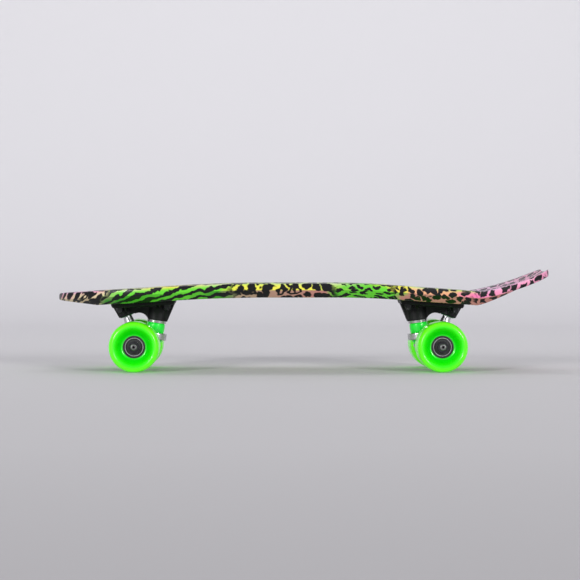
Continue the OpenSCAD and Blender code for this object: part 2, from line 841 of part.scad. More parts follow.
module core(w) {
    seat = bearing_od / 2 + press_gap;
    web_r = outer_race_r + 0.4;
    color([0.05, 0.05, 0.05])
        out_from(wheel_end(w), wheel_side(w))
            rotate_extrude($fn = 96)
                difference() {
                    hub_section(0);
                    translate([0, hub_y0 - 1])
                        square([web_r, hub_y1 - hub_y0 + 2]);
                    translate([0, hub_y0 - 1])
                        square([seat, inner_bearing_y + bearing_w - hub_y0 + 1]);
                    translate([0, outer_bearing_y])
                        square([seat, hub_y1 - outer_bearing_y + 1]);
                }
}

module outer_races(w) {
    color("silver")
        out_from(wheel_end(w), wheel_side(w))
            for (y = [inner_bearing_y, outer_bearing_y])
                difference() {
                    tube(outer_race_r, bearing_od / 2, y, bearing_w);
                    ball_groove(y);
                }
}

module shields(w) {
    color([0.1, 0.1, 0.1])
        out_from(wheel_end(w), wheel_side(w))
            for (y = [inner_bearing_y, outer_bearing_y],
                    z = [shield_inset, bearing_w - shield_inset - shield_t])
                tube(inner_race_r + 0.2, outer_race_r - press_gap, y + z, shield_t);
}

// Seven balls and the cage that spaces them, for both bearings of a wheel. The cage
// is a crown: its back runs behind the balls and its fingers reach between them.
module cages(w) {
    color("goldenrod")
        out_from(wheel_end(w), wheel_side(w))
            for (y = [inner_bearing_y, outer_bearing_y]) {
                difference() {
                    tube(inner_race_r + 0.5, outer_race_r - 0.5, y + bearing_w / 2 - cage_back,
                        cage_back + cage_front);
                    at_balls(y)
                        sphere(d = ball_d + 2 * running_gap, $fn = 32);
                }
                at_balls(y)
                    sphere(d = ball_d, $fn = 32);
            }
}

module at_balls(y) {
    for (k = [0:ball_count - 1])
        rotate([0, 0, k * 360 / ball_count])
            translate([ball_pitch_r, 0, y + bearing_w / 2])
                children();
}

deck();
for (i = [0, 1]) {
    e = ENDS[i];
    deck_screws(i);
    deck_nuts(i);
    baseplate(i);
    pivot_cup(i);
    kingpin(i);
    kingpin_nut(i);
    upper_washer(i);
    upper_bushing(i);
    lower_bushing(i);
    lower_washer(i);
    hanger(i);
    axle(i);
    axle_nuts(i);
    speed_washers(i);
    inner_races(i);
    bearing_spacers(i);
}
for (w = [0:3]) {
    n = WHEELS[w];
    tyre(w);
    core(w);
    outer_races(w);
    shields(w);
    cages(w);
}
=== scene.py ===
import math
import bpy
from mathutils import Matrix, Vector


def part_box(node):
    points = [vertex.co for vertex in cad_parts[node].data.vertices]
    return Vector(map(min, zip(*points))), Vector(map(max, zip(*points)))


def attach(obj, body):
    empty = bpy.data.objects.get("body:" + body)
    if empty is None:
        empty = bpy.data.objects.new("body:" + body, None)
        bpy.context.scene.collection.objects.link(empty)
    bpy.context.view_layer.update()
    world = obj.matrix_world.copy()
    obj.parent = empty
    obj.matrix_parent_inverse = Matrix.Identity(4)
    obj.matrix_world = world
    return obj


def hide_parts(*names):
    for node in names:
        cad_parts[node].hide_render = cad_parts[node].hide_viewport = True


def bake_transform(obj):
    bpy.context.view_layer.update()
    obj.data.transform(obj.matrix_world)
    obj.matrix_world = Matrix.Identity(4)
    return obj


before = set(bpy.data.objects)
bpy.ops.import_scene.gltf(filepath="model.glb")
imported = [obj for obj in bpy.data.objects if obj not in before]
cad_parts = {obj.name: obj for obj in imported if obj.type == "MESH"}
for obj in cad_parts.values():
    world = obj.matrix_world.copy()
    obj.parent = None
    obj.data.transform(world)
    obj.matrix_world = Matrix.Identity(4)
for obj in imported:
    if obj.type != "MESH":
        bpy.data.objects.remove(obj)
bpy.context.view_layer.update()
MM = 0.001

# ---- Camera and room ----
# A long lens close to the ground, square to the side of the board, in front of a
# pale sweep of card. Two soft boxes stand in front, left and right, with a softer
# one overhead.
EYE = Vector((-64.4, -2200, 121.3)) * MM
camera_data = bpy.data.cameras.new("camera")
camera_data.lens = 118.2
camera_data.sensor_width = 36
camera_data.shift_x = 0.0759
camera_data.shift_y = -0.0440
camera_data.clip_end = 50
camera = bpy.data.objects.new("camera", camera_data)
camera.location = EYE
camera.rotation_euler = (math.radians(90), 0, 0)
bpy.context.scene.collection.objects.link(camera)
bpy.context.scene.camera = camera
bpy.context.scene.view_settings.view_transform = "Standard"

SWEEP_Y = 1.5
SWEEP_R = 1.2


def fresh(name):
    """Gives the object that an operator has just made its own name and mesh name."""
    piece = bpy.context.object
    piece.name = name
    piece.data.name = name
    return piece


def edit_mode():
    bpy.ops.object.mode_set(mode="EDIT")


def object_mode():
    bpy.ops.object.mode_set(mode="OBJECT")


def pick(piece, kind, test):
    """In edit mode, selects just the edges or faces of piece whose centre passes test."""
    bpy.ops.mesh.select_mode(type=kind)
    bpy.ops.mesh.select_all(action="DESELECT")
    object_mode()
    parts = piece.data.edges if kind == "EDGE" else piece.data.polygons
    for part in parts:
        corners = [piece.data.vertices[i].co for i in part.vertices]
        part.select = bool(test(sum(corners, Vector()) / len(corners), part))
    edit_mode()


bpy.ops.object.select_all(action="DESELECT")
bpy.ops.mesh.primitive_plane_add(size=1, location=(0, 0, 0))
sweep = fresh("studio_sweep")
edit_mode()
bpy.ops.transform.resize(value=(12, SWEEP_Y + 5, 1))
bpy.ops.transform.translate(value=(0, (SWEEP_Y - 5) / 2, 0))
pick(sweep, "EDGE", lambda c, e: c.y > SWEEP_Y - 0.01)
bpy.ops.mesh.spin(steps=24, angle=math.radians(-88), center=(0, SWEEP_Y, SWEEP_R), axis=(1, 0, 0))
bpy.ops.mesh.extrude_region_move(TRANSFORM_OT_translate={"value": (0, 0.05, 3)})
object_mode()
bpy.ops.object.shade_smooth()

card = bpy.data.materials.new("studio_card")
card.use_nodes = True
card_nodes, card_links = card.node_tree.nodes, card.node_tree.links
card_shader = card_nodes["Principled BSDF"]
card_shader.inputs["Roughness"].default_value = 0.75
card_shader.inputs["Specular IOR Level"].default_value = 0.25
card_place = card_nodes.new("ShaderNodeTexCoord")
card_axes = card_nodes.new("ShaderNodeSeparateXYZ")
card_depth = card_nodes.new("ShaderNodeMapRange")
card_depth.inputs["From Min"].default_value = -1.6
card_depth.inputs["From Max"].default_value = SWEEP_Y + 0.6
# Painted shade: the card is darker on the floor towards the camera and paler up the wall behind.
card_painted_shade = card_nodes.new("ShaderNodeValToRGB")
card_painted_shade.color_ramp.elements[0].color = (0.42, 0.41, 0.42, 1)
card_painted_shade.color_ramp.elements[1].color = (0.70, 0.69, 0.71, 1)
card_painted_shade.color_ramp.elements.new(0.18).color = (0.55, 0.54, 0.55, 1)
card_painted_shade.color_ramp.elements.new(0.42).color = (0.63, 0.62, 0.63, 1)
card_links.new(card_place.outputs["Object"], card_axes.inputs[0])
card_links.new(card_axes.outputs["Y"], card_depth.inputs["Value"])
card_links.new(card_depth.outputs[0], card_painted_shade.inputs["Fac"])
card_links.new(card_painted_shade.outputs[0], card_shader.inputs["Base Color"])
sweep.data.materials.append(card)

world = bpy.data.worlds.new("studio")
bpy.context.scene.world = world
world.use_nodes = True
world.node_tree.nodes["Background"].inputs["Color"].default_value = (0.93, 0.93, 1.0, 1)
world.node_tree.nodes["Background"].inputs["Strength"].default_value = 0.42


def soft_box(name, place, target, width, height, power):
    lamp = bpy.data.lights.new(name, "AREA")
    lamp.shape = "RECTANGLE"
    lamp.size = width
    lamp.size_y = height
    lamp.energy = power
    holder = bpy.data.objects.new(name, lamp)
    holder.location = place
    holder.rotation_euler = (Vector(target) - Vector(place)).to_track_quat("-Z", "Y").to_euler()
    bpy.context.scene.collection.objects.link(holder)


soft_box("left_box", (-3.4, -4.6, 1.6), (0, 0, 0.10), 1.1, 1.1, 185)
soft_box("right_box", (3.4, -4.6, 1.6), (0, 0, 0.10), 1.1, 1.1, 185)
soft_box("top_box", (0, 0.9, 2.4), (0, 1.2, 0), 3.0, 1.2, 14)

# ---- Deck ----
# The deck is one moulding in a tough, slightly bendy plastic: a standing surface with
# a raised rim, a straight lip, and a bevel down to a flat underside. A printed film
# is wrapped over the whole moulding and sealed under a gloss coat.
NOSE_X, TAIL_X, KICK_X = -280.0, 280.0, 196.0
PAD_X, PAD_Z = (-182.24, 148.96), (78.48, 78.56)
GRADE = (math.tan(math.radians(3.5)), math.tan(math.radians(4.1)))
SWEEP_START, SWEEP_LENGTH = (-139.24, 35.50), (100.0, 70.46)
FLAT_Z = PAD_Z[0] + GRADE[0] * (43 + SWEEP_LENGTH[0] / 2)
EDGE_H, LIP_H, END_H = 15.8, 7.3, 7.6
HALF_W, NOSE_L, TAPER_IN, TAIL_FLAT = 76.0, 165.0, 24.0, 30.0
NOSE_THIN_L, TAIL_THIN_L, KICK_BEND, CORNER_L, TAIL_CAP = 47, 44, 10.0, 30, 0.35
BEVEL_IN, PAN_DEPTH, RIM_W, RAMP_W, TOP_ROUND = 9.0, 3.5, 5.0, 22.0, 1.4
UNDER_HOLLOW = 2.5
KICK_GRADE = (math.tan(math.radians(9)), math.tan(math.radians(24.5)))


def share_of(x, start, end):
    return min(1.0, max(0.0, (x - start) / (end - start)))


def eased(t):
    return t * t * (3 - 2 * t)


def rim_height(x):
    """Height of the top of the deck's rim at x."""
    bend_end = SWEEP_START[0] + SWEEP_LENGTH[0]
    if x < SWEEP_START[0]:
        z = PAD_Z[0] + GRADE[0] * (x - PAD_X[0])
    elif x < bend_end:
        z = FLAT_Z - GRADE[0] * (bend_end - x) ** 2 / (2 * SWEEP_LENGTH[0])
    elif x < SWEEP_START[1]:
        z = FLAT_Z
    elif x < SWEEP_START[1] + SWEEP_LENGTH[1]:
        z = FLAT_Z - GRADE[1] * (x - SWEEP_START[1]) ** 2 / (2 * SWEEP_LENGTH[1])
    else:
        z = PAD_Z[1] - GRADE[1] * (x - PAD_X[1])
    past = max(0.0, x - KICK_X)
    bend = min(past, KICK_BEND)
    rise = (KICK_GRADE[0] + GRADE[1]) * (bend * bend / (2 * KICK_BEND) + max(0.0, past - KICK_BEND))
    rise += (KICK_GRADE[1] - KICK_GRADE[0]) * past * past / (2 * (TAIL_X - KICK_X))
    return z + EDGE_H + rise


def edge_height(x):
    """Height of the deck's edge at x: it thins towards the nose and along the kicktail."""
    thin = 1 - share_of(x, NOSE_X, NOSE_X + NOSE_THIN_L)
    thin += share_of(x, KICK_X, KICK_X + TAIL_THIN_L)
    return EDGE_H - (EDGE_H - END_H) * thin


def half_width(x):
    """Half of the deck's width at x: a round nose, a slight taper and a squared tail."""
    front = HALF_W * math.sqrt(1 - (1 - share_of(x, NOSE_X, NOSE_X + NOSE_L)) ** 2.3)
    side = HALF_W - TAPER_IN * share_of(x, -40, TAIL_X) ** 1.6
    corner = 1 - share_of(x, TAIL_X - CORNER_L, TAIL_X)
    rear = TAIL_FLAT + (side - TAIL_FLAT) * math.sqrt(1 - (1 - corner) ** 2.2)
    return min(front, rear)


TOP_COLUMNS, RAMP_COLUMNS, UNDER_COLUMNS = 8, 6, 8


def half_section(x):
    """Half of the deck's cross-section at x: a list of (across, height, band), from the
    middle of the top, over the rim and down to the middle of the underside. The band
    runs from 0 on the standing surface to 1 on the rim, 2 on the lip and 3 below."""
    w, top, h = half_width(x), rim_height(x), edge_height(x)
    bottom = top - h
    bevel = min(BEVEL_IN, w / 3) * min(1, (h - LIP_H) / (EDGE_H - LIP_H) + 0.15)
    pan = top - PAN_DEPTH * min(1.0, max(0.0, (w - 7) / (HALF_W - 7) * 1.6))
    ramp_out = max(w * 0.4, w - max(TOP_ROUND + 0.6, RIM_W * min(1, w / 30)))
    ramp_in = max(w * 0.3, ramp_out - RAMP_W)
    hollow = UNDER_HOLLOW * eased(share_of(x, SWEEP_START[0], SWEEP_START[0] + 50))
    hollow *= eased(1 - share_of(x, SWEEP_START[1] + SWEEP_LENGTH[1] - 50,
                                 SWEEP_START[1] + SWEEP_LENGTH[1]))
    nose = math.sqrt(1 - (1 - share_of(x, NOSE_X - 0.1, NOSE_X + 4)) ** 2)
    top, bottom = top - 0.5 * h * (1 - nose), bottom + 0.3 * h * (1 - nose)
    pan, h = min(pan, top), top - bottom
    r = min(TOP_ROUND, w * 0.5)
    lip = max(bottom + 0.3 * h, top - min(LIP_H, h - 0.7))
    points = [(ramp_in * i / TOP_COLUMNS, pan, 0.0) for i in range(TOP_COLUMNS)]
    for i in range(RAMP_COLUMNS + 1):
        s = i / RAMP_COLUMNS
        points.append((ramp_in + (ramp_out - ramp_in) * s, pan + (top - pan) * eased(s), s))
    for angle in (0, 22.5, 45, 67.5, 90):
        a = math.radians(angle)
        points.append((w - r + r * math.sin(a), top - r + r * math.cos(a), 1 + angle / 180))
    points += [
        (w, lip + 0.5, 1.9),
        (w - 0.12, lip + 0.15, 1.97),
        (w - min(0.4, bevel), lip - 0.25, 2.05),
        (w - bevel + min(0.7, bevel * 0.5), bottom + 0.75, 2.9),
        (w - bevel + min(0.1, bevel * 0.1), bottom + 0.25, 2.97),
        (w - bevel - min(0.8, w * 0.05), bottom, 3.0),
        (max(w * 0.45, w - bevel - 14), bottom, 3.0),
        (max(w * 0.3, w - bevel - 24), bottom + hollow, 3.0),
    ]
    last = points[-1][0]
    points += [(last * (1 - i / UNDER_COLUMNS), bottom + hollow, 3.0)
               for i in range(1, UNDER_COLUMNS + 1)]
    return points


stations = [NOSE_X + NOSE_L * (1 - math.cos(math.radians(90 * i / 36))) * 0.62 for i in range(36)]
middle_start = NOSE_X + NOSE_L * 0.62
stations += [middle_start + (KICK_X - middle_start) * i / 70 for i in range(70)]
stations += [KICK_X + 54 * i / 27 for i in range(27)]
stations += [TAIL_X - CORNER_L + (CORNER_L - TAIL_CAP) * math.sin(math.radians(90 * i / 16))
             for i in range(17)]
rows, columns = len(stations), 2 * (len(half_section(0)) - 1)

bpy.ops.object.select_all(action="DESELECT")
bpy.ops.mesh.primitive_grid_add(x_subdivisions=rows - 1, y_subdivisions=columns, size=2)
deck = fresh("printed_deck")
film = deck.data.uv_layers[0]
film.name = "film"
band = deck.data.attributes.new("band", "FLOAT", "POINT")
film_place = [None] * len(deck.data.vertices)
for vertex in deck.data.vertices:
    row = round((vertex.co.x + 1) / 2 * (rows - 1))
    column = round((vertex.co.y + 1) / 2 * columns)
    half = half_section(stations[row])
    reach = abs(column - columns // 2)
    across, height, shade = half[reach]
    side = 1 if column > columns // 2 else -1
    length = sum(math.dist(half[i][:2], half[i + 1][:2]) for i in range(reach))
    vertex.co = Vector((stations[row], side * across, height)) * MM
    band.data[vertex.index].value = shade
    film_place[vertex.index] = (stations[row] * MM, side * length * MM)
for loop in deck.data.loops:
    film.data[loop.index].uv = film_place[loop.vertex_index]
edit_mode()
bpy.ops.mesh.select_all(action="SELECT")
bpy.ops.mesh.remove_doubles(threshold=1e-6)
bpy.ops.mesh.select_all(action="DESELECT")
bpy.ops.mesh.select_non_manifold()
bpy.ops.mesh.edge_face_add()
bpy.ops.mesh.inset(thickness=1.2 * MM)
bpy.ops.transform.translate(value=(TAIL_CAP * MM, 0, 0))
bpy.ops.mesh.select_all(action="SELECT")
bpy.ops.mesh.normals_make_consistent(inside=False)
object_mode()
bpy.ops.object.shade_smooth_by_angle(angle=math.radians(40))
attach(deck, "deck")
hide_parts("deck")


def add_node(tree, kind, place, **values):
    """Adds a node to a node tree, sets its named properties and unlinked inputs."""
    made = tree.nodes.new(kind)
    made.location = place
    for key, value in values.items():
        if hasattr(made, key):
            setattr(made, key, value)
        else:
            made.inputs[key.replace("_", " ")].default_value = value
    return made


def link(tree, *chain):
    """Links (node, output) to (node, input), pair after pair."""
    for start, end in zip(chain[::2], chain[1::2]):
        tree.links.new(start[0].outputs[start[1]], end[0].inputs[end[1]])


def set_ramp(ramp_node, stops, interpolation="LINEAR"):
    ramp = ramp_node.color_ramp
    ramp.interpolation = interpolation
    while len(ramp.elements) > 1:
        ramp.elements.remove(ramp.elements[-1])
    ramp.elements[0].position, ramp.elements[0].color = stops[0][0], (*stops[0][1], 1)
    for position, colour in stops[1:]:
        ramp.elements.new(position).color = (*colour, 1)


def new_group(name, inputs, outputs):
    """A shader node group with float inputs, and outputs given as (name, socket type)."""
    group = bpy.data.node_groups.new(name, "ShaderNodeTree")
    for label, value in inputs:
        socket = group.interface.new_socket(label, in_out="INPUT", socket_type="NodeSocketFloat")
        socket.default_value = value
    for label, kind in outputs:
        group.interface.new_socket(label, in_out="OUTPUT", socket_type=kind)
    return group, group.nodes.new("NodeGroupInput"), group.nodes.new("NodeGroupOutput")


def use_group(tree, group, place, **values):
    made = tree.nodes.new("ShaderNodeGroup")
    made.node_tree = group
    made.location = place
    for key, value in values.items():
        made.inputs[key.replace("_", " ")].default_value = value
    return made


def math_node(tree, operation, place, first, second=None):
    """A Math node whose inputs are numbers or (node, output) pairs."""
    made = add_node(tree, "ShaderNodeMath", place, operation=operation)
    for i, value in enumerate((first, second)):
        if isinstance(value, tuple):
            tree.links.new(value[0].outputs[value[1]], made.inputs[i])
        elif value is not None:
            made.inputs[i].default_value = value
    return made


def start_material(name, roughness=0.4, metallic=0.0):
    made = bpy.data.materials.new(name)
    made.use_nodes = True
    shader = made.node_tree.nodes["Principled BSDF"]
    shader.location = (900, 0)
    made.node_tree.nodes["Material Output"].location = (1200, 0)
    shader.inputs["Roughness"].default_value = roughness
    shader.inputs["Metallic"].default_value = metallic
    return made, made.node_tree, shader


# A faint skin shared by every moulded and cast surface: slow waviness, fine grain, and
# a tone that drifts a little over the piece.
skin, skin_in, skin_out = new_group(
    "moulded_skin",
    [("Grain Scale", 900.0), ("Wave Scale", 60.0), ("Grain", 0.5)],
    [("Height", "NodeSocketFloat"), ("Tone", "NodeSocketFloat")])
skin_place = add_node(skin, "ShaderNodeTexCoord", (-900, 0))
skin_grain = add_node(skin, "ShaderNodeTexNoise", (-600, 200), Detail=3.0)
skin_wave = add_node(skin, "ShaderNodeTexNoise", (-600, -100), Detail=2.0)
link(skin, (skin_place, "Object"), (skin_grain, "Vector"),
     (skin_place, "Object"), (skin_wave, "Vector"),
     (skin_in, "Grain Scale"), (skin_grain, "Scale"), (skin_in, "Wave Scale"), (skin_wave, "Scale"))
skin_mix = add_node(skin, "ShaderNodeMix", (-300, 100))
link(skin, (skin_in, "Grain"), (skin_mix, "Factor"), (skin_wave, "Fac"), (skin_mix, 2),
     (skin_grain, "Fac"), (skin_mix, 3), (skin_mix, 0), (skin_out, "Height"),
     (skin_wave, "Fac"), (skin_out, "Tone"))

# The printed film. Its colours change along the deck and differ on the rim, the lip and
# the bevel; black markings lie over them, in a different pattern on each stretch. The
# rim colours, which also cover the standing surface, are the print made paler by a
# painted highlight; the bevel colours are the print made darker by painted shade.
PINK, HOT_PINK, SALMON = (0.78, 0.30, 0.46), (0.80, 0.17, 0.38), (0.52, 0.22, 0.19)
CREAM, BEIGE, LIME = (0.64, 0.52, 0.32), (0.42, 0.31, 0.20), (0.12, 0.60, 0.03)
DEEP_GREEN, BRIGHT_GREEN, YELLOW = (0.03, 0.26, 0.015), (0.11, 0.52, 0.03), (0.74, 0.70, 0.07)
YELLOW_GREEN, ORANGE, INK = (0.46, 0.64, 0.10), (0.74, 0.37, 0.20), (0.004, 0.004, 0.005)
PALE_GREEN, LILAC = (0.52, 0.62, 0.30), (0.66, 0.42, 0.60)
# Print with a painted highlight: paler, yellower colours where the rounded rim meets the light.
RIM_PRINT_AND_HIGHLIGHT_COLOURS = [(-280, LILAC), (-232, PINK), (-222, YELLOW_GREEN), (-200, PALE_GREEN),
               (-150, YELLOW), (-100, PALE_GREEN), (-70, YELLOW_GREEN), (38, PALE_GREEN), (70, BRIGHT_GREEN),
               (110, YELLOW), (130, PALE_GREEN), (185, YELLOW_GREEN), (205, LILAC), (280, PINK)]
LIP_COLOURS = [(-280, PINK), (-262, CREAM), (-226, CREAM), (-216, LIME), (-90, LIME), (-72, YELLOW),
               (10, YELLOW), (32, YELLOW_GREEN), (50, BRIGHT_GREEN), (92, LIME), (106, YELLOW),
               (118, ORANGE), (170, ORANGE), (188, HOT_PINK), (230, PINK), (280, PINK)]
# Print with painted shade: darker versions of the lip's colours on the bevel.
BEVEL_PRINT_AND_SHADE_COLOURS = [(-280, CREAM), (-228, BEIGE), (-216, DEEP_GREEN), (-130, LIME), (-90, DEEP_GREEN),
                 (-74, BEIGE), (20, SALMON), (34, BRIGHT_GREEN), (105, LIME), (116, SALMON),
                 (225, SALMON), (250, PINK), (280, PINK)]
UNDER_COLOURS = [(-280, BEIGE), (-226, CREAM), (-200, LIME), (-92, YELLOW_GREEN), (-60, CREAM),
                 (25, YELLOW), (60, BRIGHT_GREEN), (110, YELLOW_GREEN), (150, ORANGE),
                 (205, HOT_PINK), (280, PINK)]
DECK_SPAN = TAIL_X - NOSE_X

print_film, film_tree, film_shader = start_material("deck_print", roughness=0.30)
film_map = add_node(film_tree, "ShaderNodeUVMap", (-2600, 0), uv_map="film")
film_band = add_node(film_tree, "ShaderNodeAttribute", (-2600, -900), attribute_name="band")
film_wobble = add_node(film_tree, "ShaderNodeTexNoise", (-2400, 300), Scale=55.0, Detail=2.0)
film_wobble.noise_dimensions = "2D"
film_split = add_node(film_tree, "ShaderNodeSeparateXYZ", (-2400, 0))
link(film_tree, (film_map, "UV"), (film_wobble, "Vector"), (film_map, "UV"), (film_split, "Vector"))
wobbled = math_node(film_tree, "MULTIPLY_ADD", (-2200, 200), (film_wobble, "Fac"), 0.030)
wobbled.inputs[2].default_value = -0.015 - NOSE_X * MM
along = math_node(film_tree, "ADD", (-2000, 100), (wobbled, 0), (film_split, "X"))
along_share = math_node(film_tree, "DIVIDE", (-1800, 100), (along, 0), DECK_SPAN * MM)


def colour_run(stops, place):
    run = add_node(film_tree, "ShaderNodeValToRGB", place)
    set_ramp(run, [((x - NOSE_X) / DECK_SPAN, colour) for x, colour in stops])
    link(film_tree, (along_share, 0), (run, "Fac"))
    return run


def stretch(start, end, place):
    """1 on the stretch of the deck from start to end, 0 elsewhere, with a soft change."""
    run = add_node(film_tree, "ShaderNodeValToRGB", place)
    low, high = (start - NOSE_X) / DECK_SPAN, (end - NOSE_X) / DECK_SPAN
    stops = []
    if start > NOSE_X:
        stops += [(low - 0.01, (0, 0, 0)), (low + 0.001, (1, 1, 1))]
    if end < TAIL_X:
        stops += [(high - 0.001, (1, 1, 1)), (high + 0.01, (0, 0, 0))]
    set_ramp(run, stops)
    link(film_tree, (along_share, 0), (run, "Fac"))
    return run


def colour_mix(first, second, factor, place):
    mix = add_node(film_tree, "ShaderNodeMix", place, data_type="RGBA")
    film_tree.links.new(first, mix.inputs[6])
    film_tree.links.new(second, mix.inputs[7])
    if isinstance(factor, float):
        mix.inputs[0].default_value = factor
    else:
        film_tree.links.new(factor, mix.inputs[0])
    return mix.outputs[2]


def band_step(start, end, place):
    step = add_node(film_tree, "ShaderNodeMapRange", place, interpolation_type="SMOOTHSTEP")
    step.inputs["From Min"].default_value = start
    step.inputs["From Max"].default_value = end
    link(film_tree, (film_band, "Fac"), (step, "Value"))
    return step.outputs[0]


rim_print_and_highlight_run = colour_run(RIM_PRINT_AND_HIGHLIGHT_COLOURS, (-1500, 900))
lip_run = colour_run(LIP_COLOURS, (-1500, 600))
bevel_print_and_shade_run = colour_run(BEVEL_PRINT_AND_SHADE_COLOURS, (-1500, 300))
under_run = colour_run(UNDER_COLOURS, (-1500, 0))
ground = colour_mix(rim_print_and_highlight_run.outputs[0], lip_run.outputs[0],
                    band_step(1.25, 1.75, (-1200, 1200)), (-1000, 800))
ground = colour_mix(ground, bevel_print_and_shade_run.outputs[0],
                    band_step(1.93, 2.1, (-1200, 1000)), (-800, 700))
ground = colour_mix(ground, under_run.outputs[0],
                    band_step(2.95, 3.0, (-1200, 800)), (-600, 600))

# Markings. Each is a mask that is 1 on the ink.
bend = add_node(film_tree, "ShaderNodeTexNoise", (-2400, -300), Scale=95.0, Detail=2.0)
bend.noise_dimensions = "2D"
bend_off = add_node(film_tree, "ShaderNodeVectorMath", (-2200, -300), operation="SUBTRACT")
bend_off.inputs[1].default_value = (0.5, 0.5, 0.5)
bend_size = add_node(film_tree, "ShaderNodeVectorMath", (-2000, -300), operation="SCALE")
bend_size.inputs["Scale"].default_value = 0.011
bent = add_node(film_tree, "ShaderNodeVectorMath", (-1800, -300), operation="ADD")
link(film_tree, (film_map, "UV"), (bend, "Vector"), (bend, "Color"), (bend_off, 0), (bend_off, 0),
     (bend_size, 0), (film_map, "UV"), (bent, 0), (bend_size, 0), (bent, 1))


def ink_edge(value, start, end, place):
    """Turns a value into a mask that runs from 0 at start to 1 at end."""
    edge = add_node(film_tree, "ShaderNodeMapRange", place)
    edge.inputs["From Min"].default_value = start
    edge.inputs["From Max"].default_value = end
    film_tree.links.new(value, edge.inputs["Value"])
    return edge


def blotches(scale, size, randomness, metric, y):
    """Spots of a given size, one in each cell: the cells, and the mask of the spots."""
    cells = add_node(film_tree, "ShaderNodeTexVoronoi", (-1500, y), Scale=scale,
                     Randomness=randomness)
    cells.voronoi_dimensions = "2D"
    cells.distance = metric
    link(film_tree, (bent, 0), (cells, "Vector"))
    return cells, ink_edge(cells.outputs["Distance"], size + 0.04, size - 0.04, (-1300, y))


leopard_cells, leopard = blotches(98.0, 0.50, 0.80, "EUCLIDEAN", -300)
heart = ink_edge(leopard_cells.outputs["Distance"], 0.20, 0.14, (-1300, -450))
open_cell = ink_edge(leopard_cells.outputs["Color"], 0.66, 0.68, (-1300, -600))
heart_mask = math_node(film_tree, "MULTIPLY", (-1100, -500), (heart, 0), (open_cell, 0))
leopard_ink = math_node(film_tree, "SUBTRACT", (-900, -400), (leopard, 0), (heart_mask, 0))
_, small_spots = blotches(120.0, 0.47, 0.75, "EUCLIDEAN", -800)
_, square_spots = blotches(94.0, 0.37, 0.35, "CHEBYCHEV", -1000)

stripe_turn = add_node(film_tree, "ShaderNodeMapping", (-1500, -1300))
stripe_turn.inputs["Rotation"].default_value = (0, 0, math.radians(-13))
link(film_tree, (bent, 0), (stripe_turn, "Vector"))
stripes = add_node(film_tree, "ShaderNodeTexWave", (-1300, -1300), Scale=31.0, Distortion=4.5,
                   Detail=1.5, bands_direction="Y")
stripes.inputs["Detail Scale"].default_value = 0.6
link(film_tree, (stripe_turn, "Vector"), (stripes, "Vector"))
zebra = ink_edge(stripes.outputs["Fac"], 0.44, 0.52, (-1100, -1300))

dash_turn = add_node(film_tree, "ShaderNodeMapping", (-1500, -1600))
dash_turn.inputs["Rotation"].default_value = (0, 0, math.radians(-48))
dash_turn.inputs["Scale"].default_value = (1.0, 2.6, 1.0)
link(film_tree, (bent, 0), (dash_turn, "Vector"))
dash_cells = add_node(film_tree, "ShaderNodeTexVoronoi", (-1300, -1600), Scale=75.0, Randomness=0.8)
dash_cells.voronoi_dimensions = "2D"
link(film_tree, (dash_turn, "Vector"), (dash_cells, "Vector"))
dashes = ink_edge(dash_cells.outputs["Distance"], 0.40, 0.33, (-1100, -1600))


def on_stretch(mask, start, end, y):
    where = stretch(start, end, (-800, y))
    return math_node(film_tree, "MULTIPLY", (-500, y), (mask, 0), (where, 0))


parts = [
    on_stretch(leopard_ink, NOSE_X - 1, -224, -300),
    on_stretch(zebra, -222, -80, -500),
    on_stretch(leopard_ink, -78, 34, -700),
    on_stretch(dashes, 36, 104, -900),
    on_stretch(small_spots, 106, 186, -1100),
    on_stretch(square_spots, 188, TAIL_X + 1, -1300),
    stretch(NOSE_X - 1, -277.5, (-800, -1500)),
]
ink = parts[0]
for number, part in enumerate(parts[1:]):
    ink = math_node(film_tree, "MAXIMUM", (-300, -300 - 150 * number), (ink, 0), (part, 0))
printed = add_node(film_tree, "ShaderNodeMix", (300, 300), data_type="RGBA")
film_tree.links.new(ground, printed.inputs[6])
printed.inputs[7].default_value = (*INK, 1)
link(film_tree, (ink, 0), (printed, 0), (printed, 2), (film_shader, "Base Color"))
film_skin = use_group(film_tree, skin, (300, -300), Grain_Scale=700.0, Wave_Scale=70.0, Grain=0.25)
film_bump = add_node(film_tree, "ShaderNodeBump", (600, -300), Strength=0.25, Distance=0.0006)
link(film_tree, (film_skin, "Height"), (film_bump, "Height"),
     (film_bump, "Normal"), (film_shader, "Normal"))
film_sheen = add_node(film_tree, "ShaderNodeMapRange", (600, -100))
film_sheen.inputs["To Min"].default_value = 0.24
film_sheen.inputs["To Max"].default_value = 0.36
link(film_tree, (film_skin, "Tone"), (film_sheen, "Value"),
     (film_sheen, 0), (film_shader, "Roughness"))
film_shader.inputs["Specular IOR Level"].default_value = 0.28
film_shader.inputs["Coat Weight"].default_value = 0.12
film_shader.inputs["Coat Roughness"].default_value = 0.10
deck.data.materials.append(print_film)

# ---- Grip studs ----
# The standing surface is moulded with rows of low square studs, which give a shoe its
# grip. They are part of the deck and carry the same film.
STUD_PITCH, STUD_GAP, STUD_RISE, STUD_SINK = 8.0, 2.6, 0.7, 0.4
STUD_ENDS, STUD_REACH, SCREW_CLEAR = (25, 14), 9, 8.6
BOLTS = (53.5, 41.3)


def pan_height(x, y):
    """Height of the standing surface at (x, y)."""
    half = half_section(x)
    for inner, outer in zip(half, half[1:]):
        if inner[0] <= abs(y) <= outer[0] and outer[0] > inner[0]:
            t = (abs(y) - inner[0]) / (outer[0] - inner[0])
            return inner[1] + (outer[1] - inner[1]) * t
    return None


def pan_reach(x):
    """Half width of the part of the standing surface that carries studs, at x."""
    if not NOSE_X + STUD_ENDS[0] < x < TAIL_X - STUD_ENDS[1]:
        return 0
    return half_section(x)[TOP_COLUMNS][0] + STUD_REACH


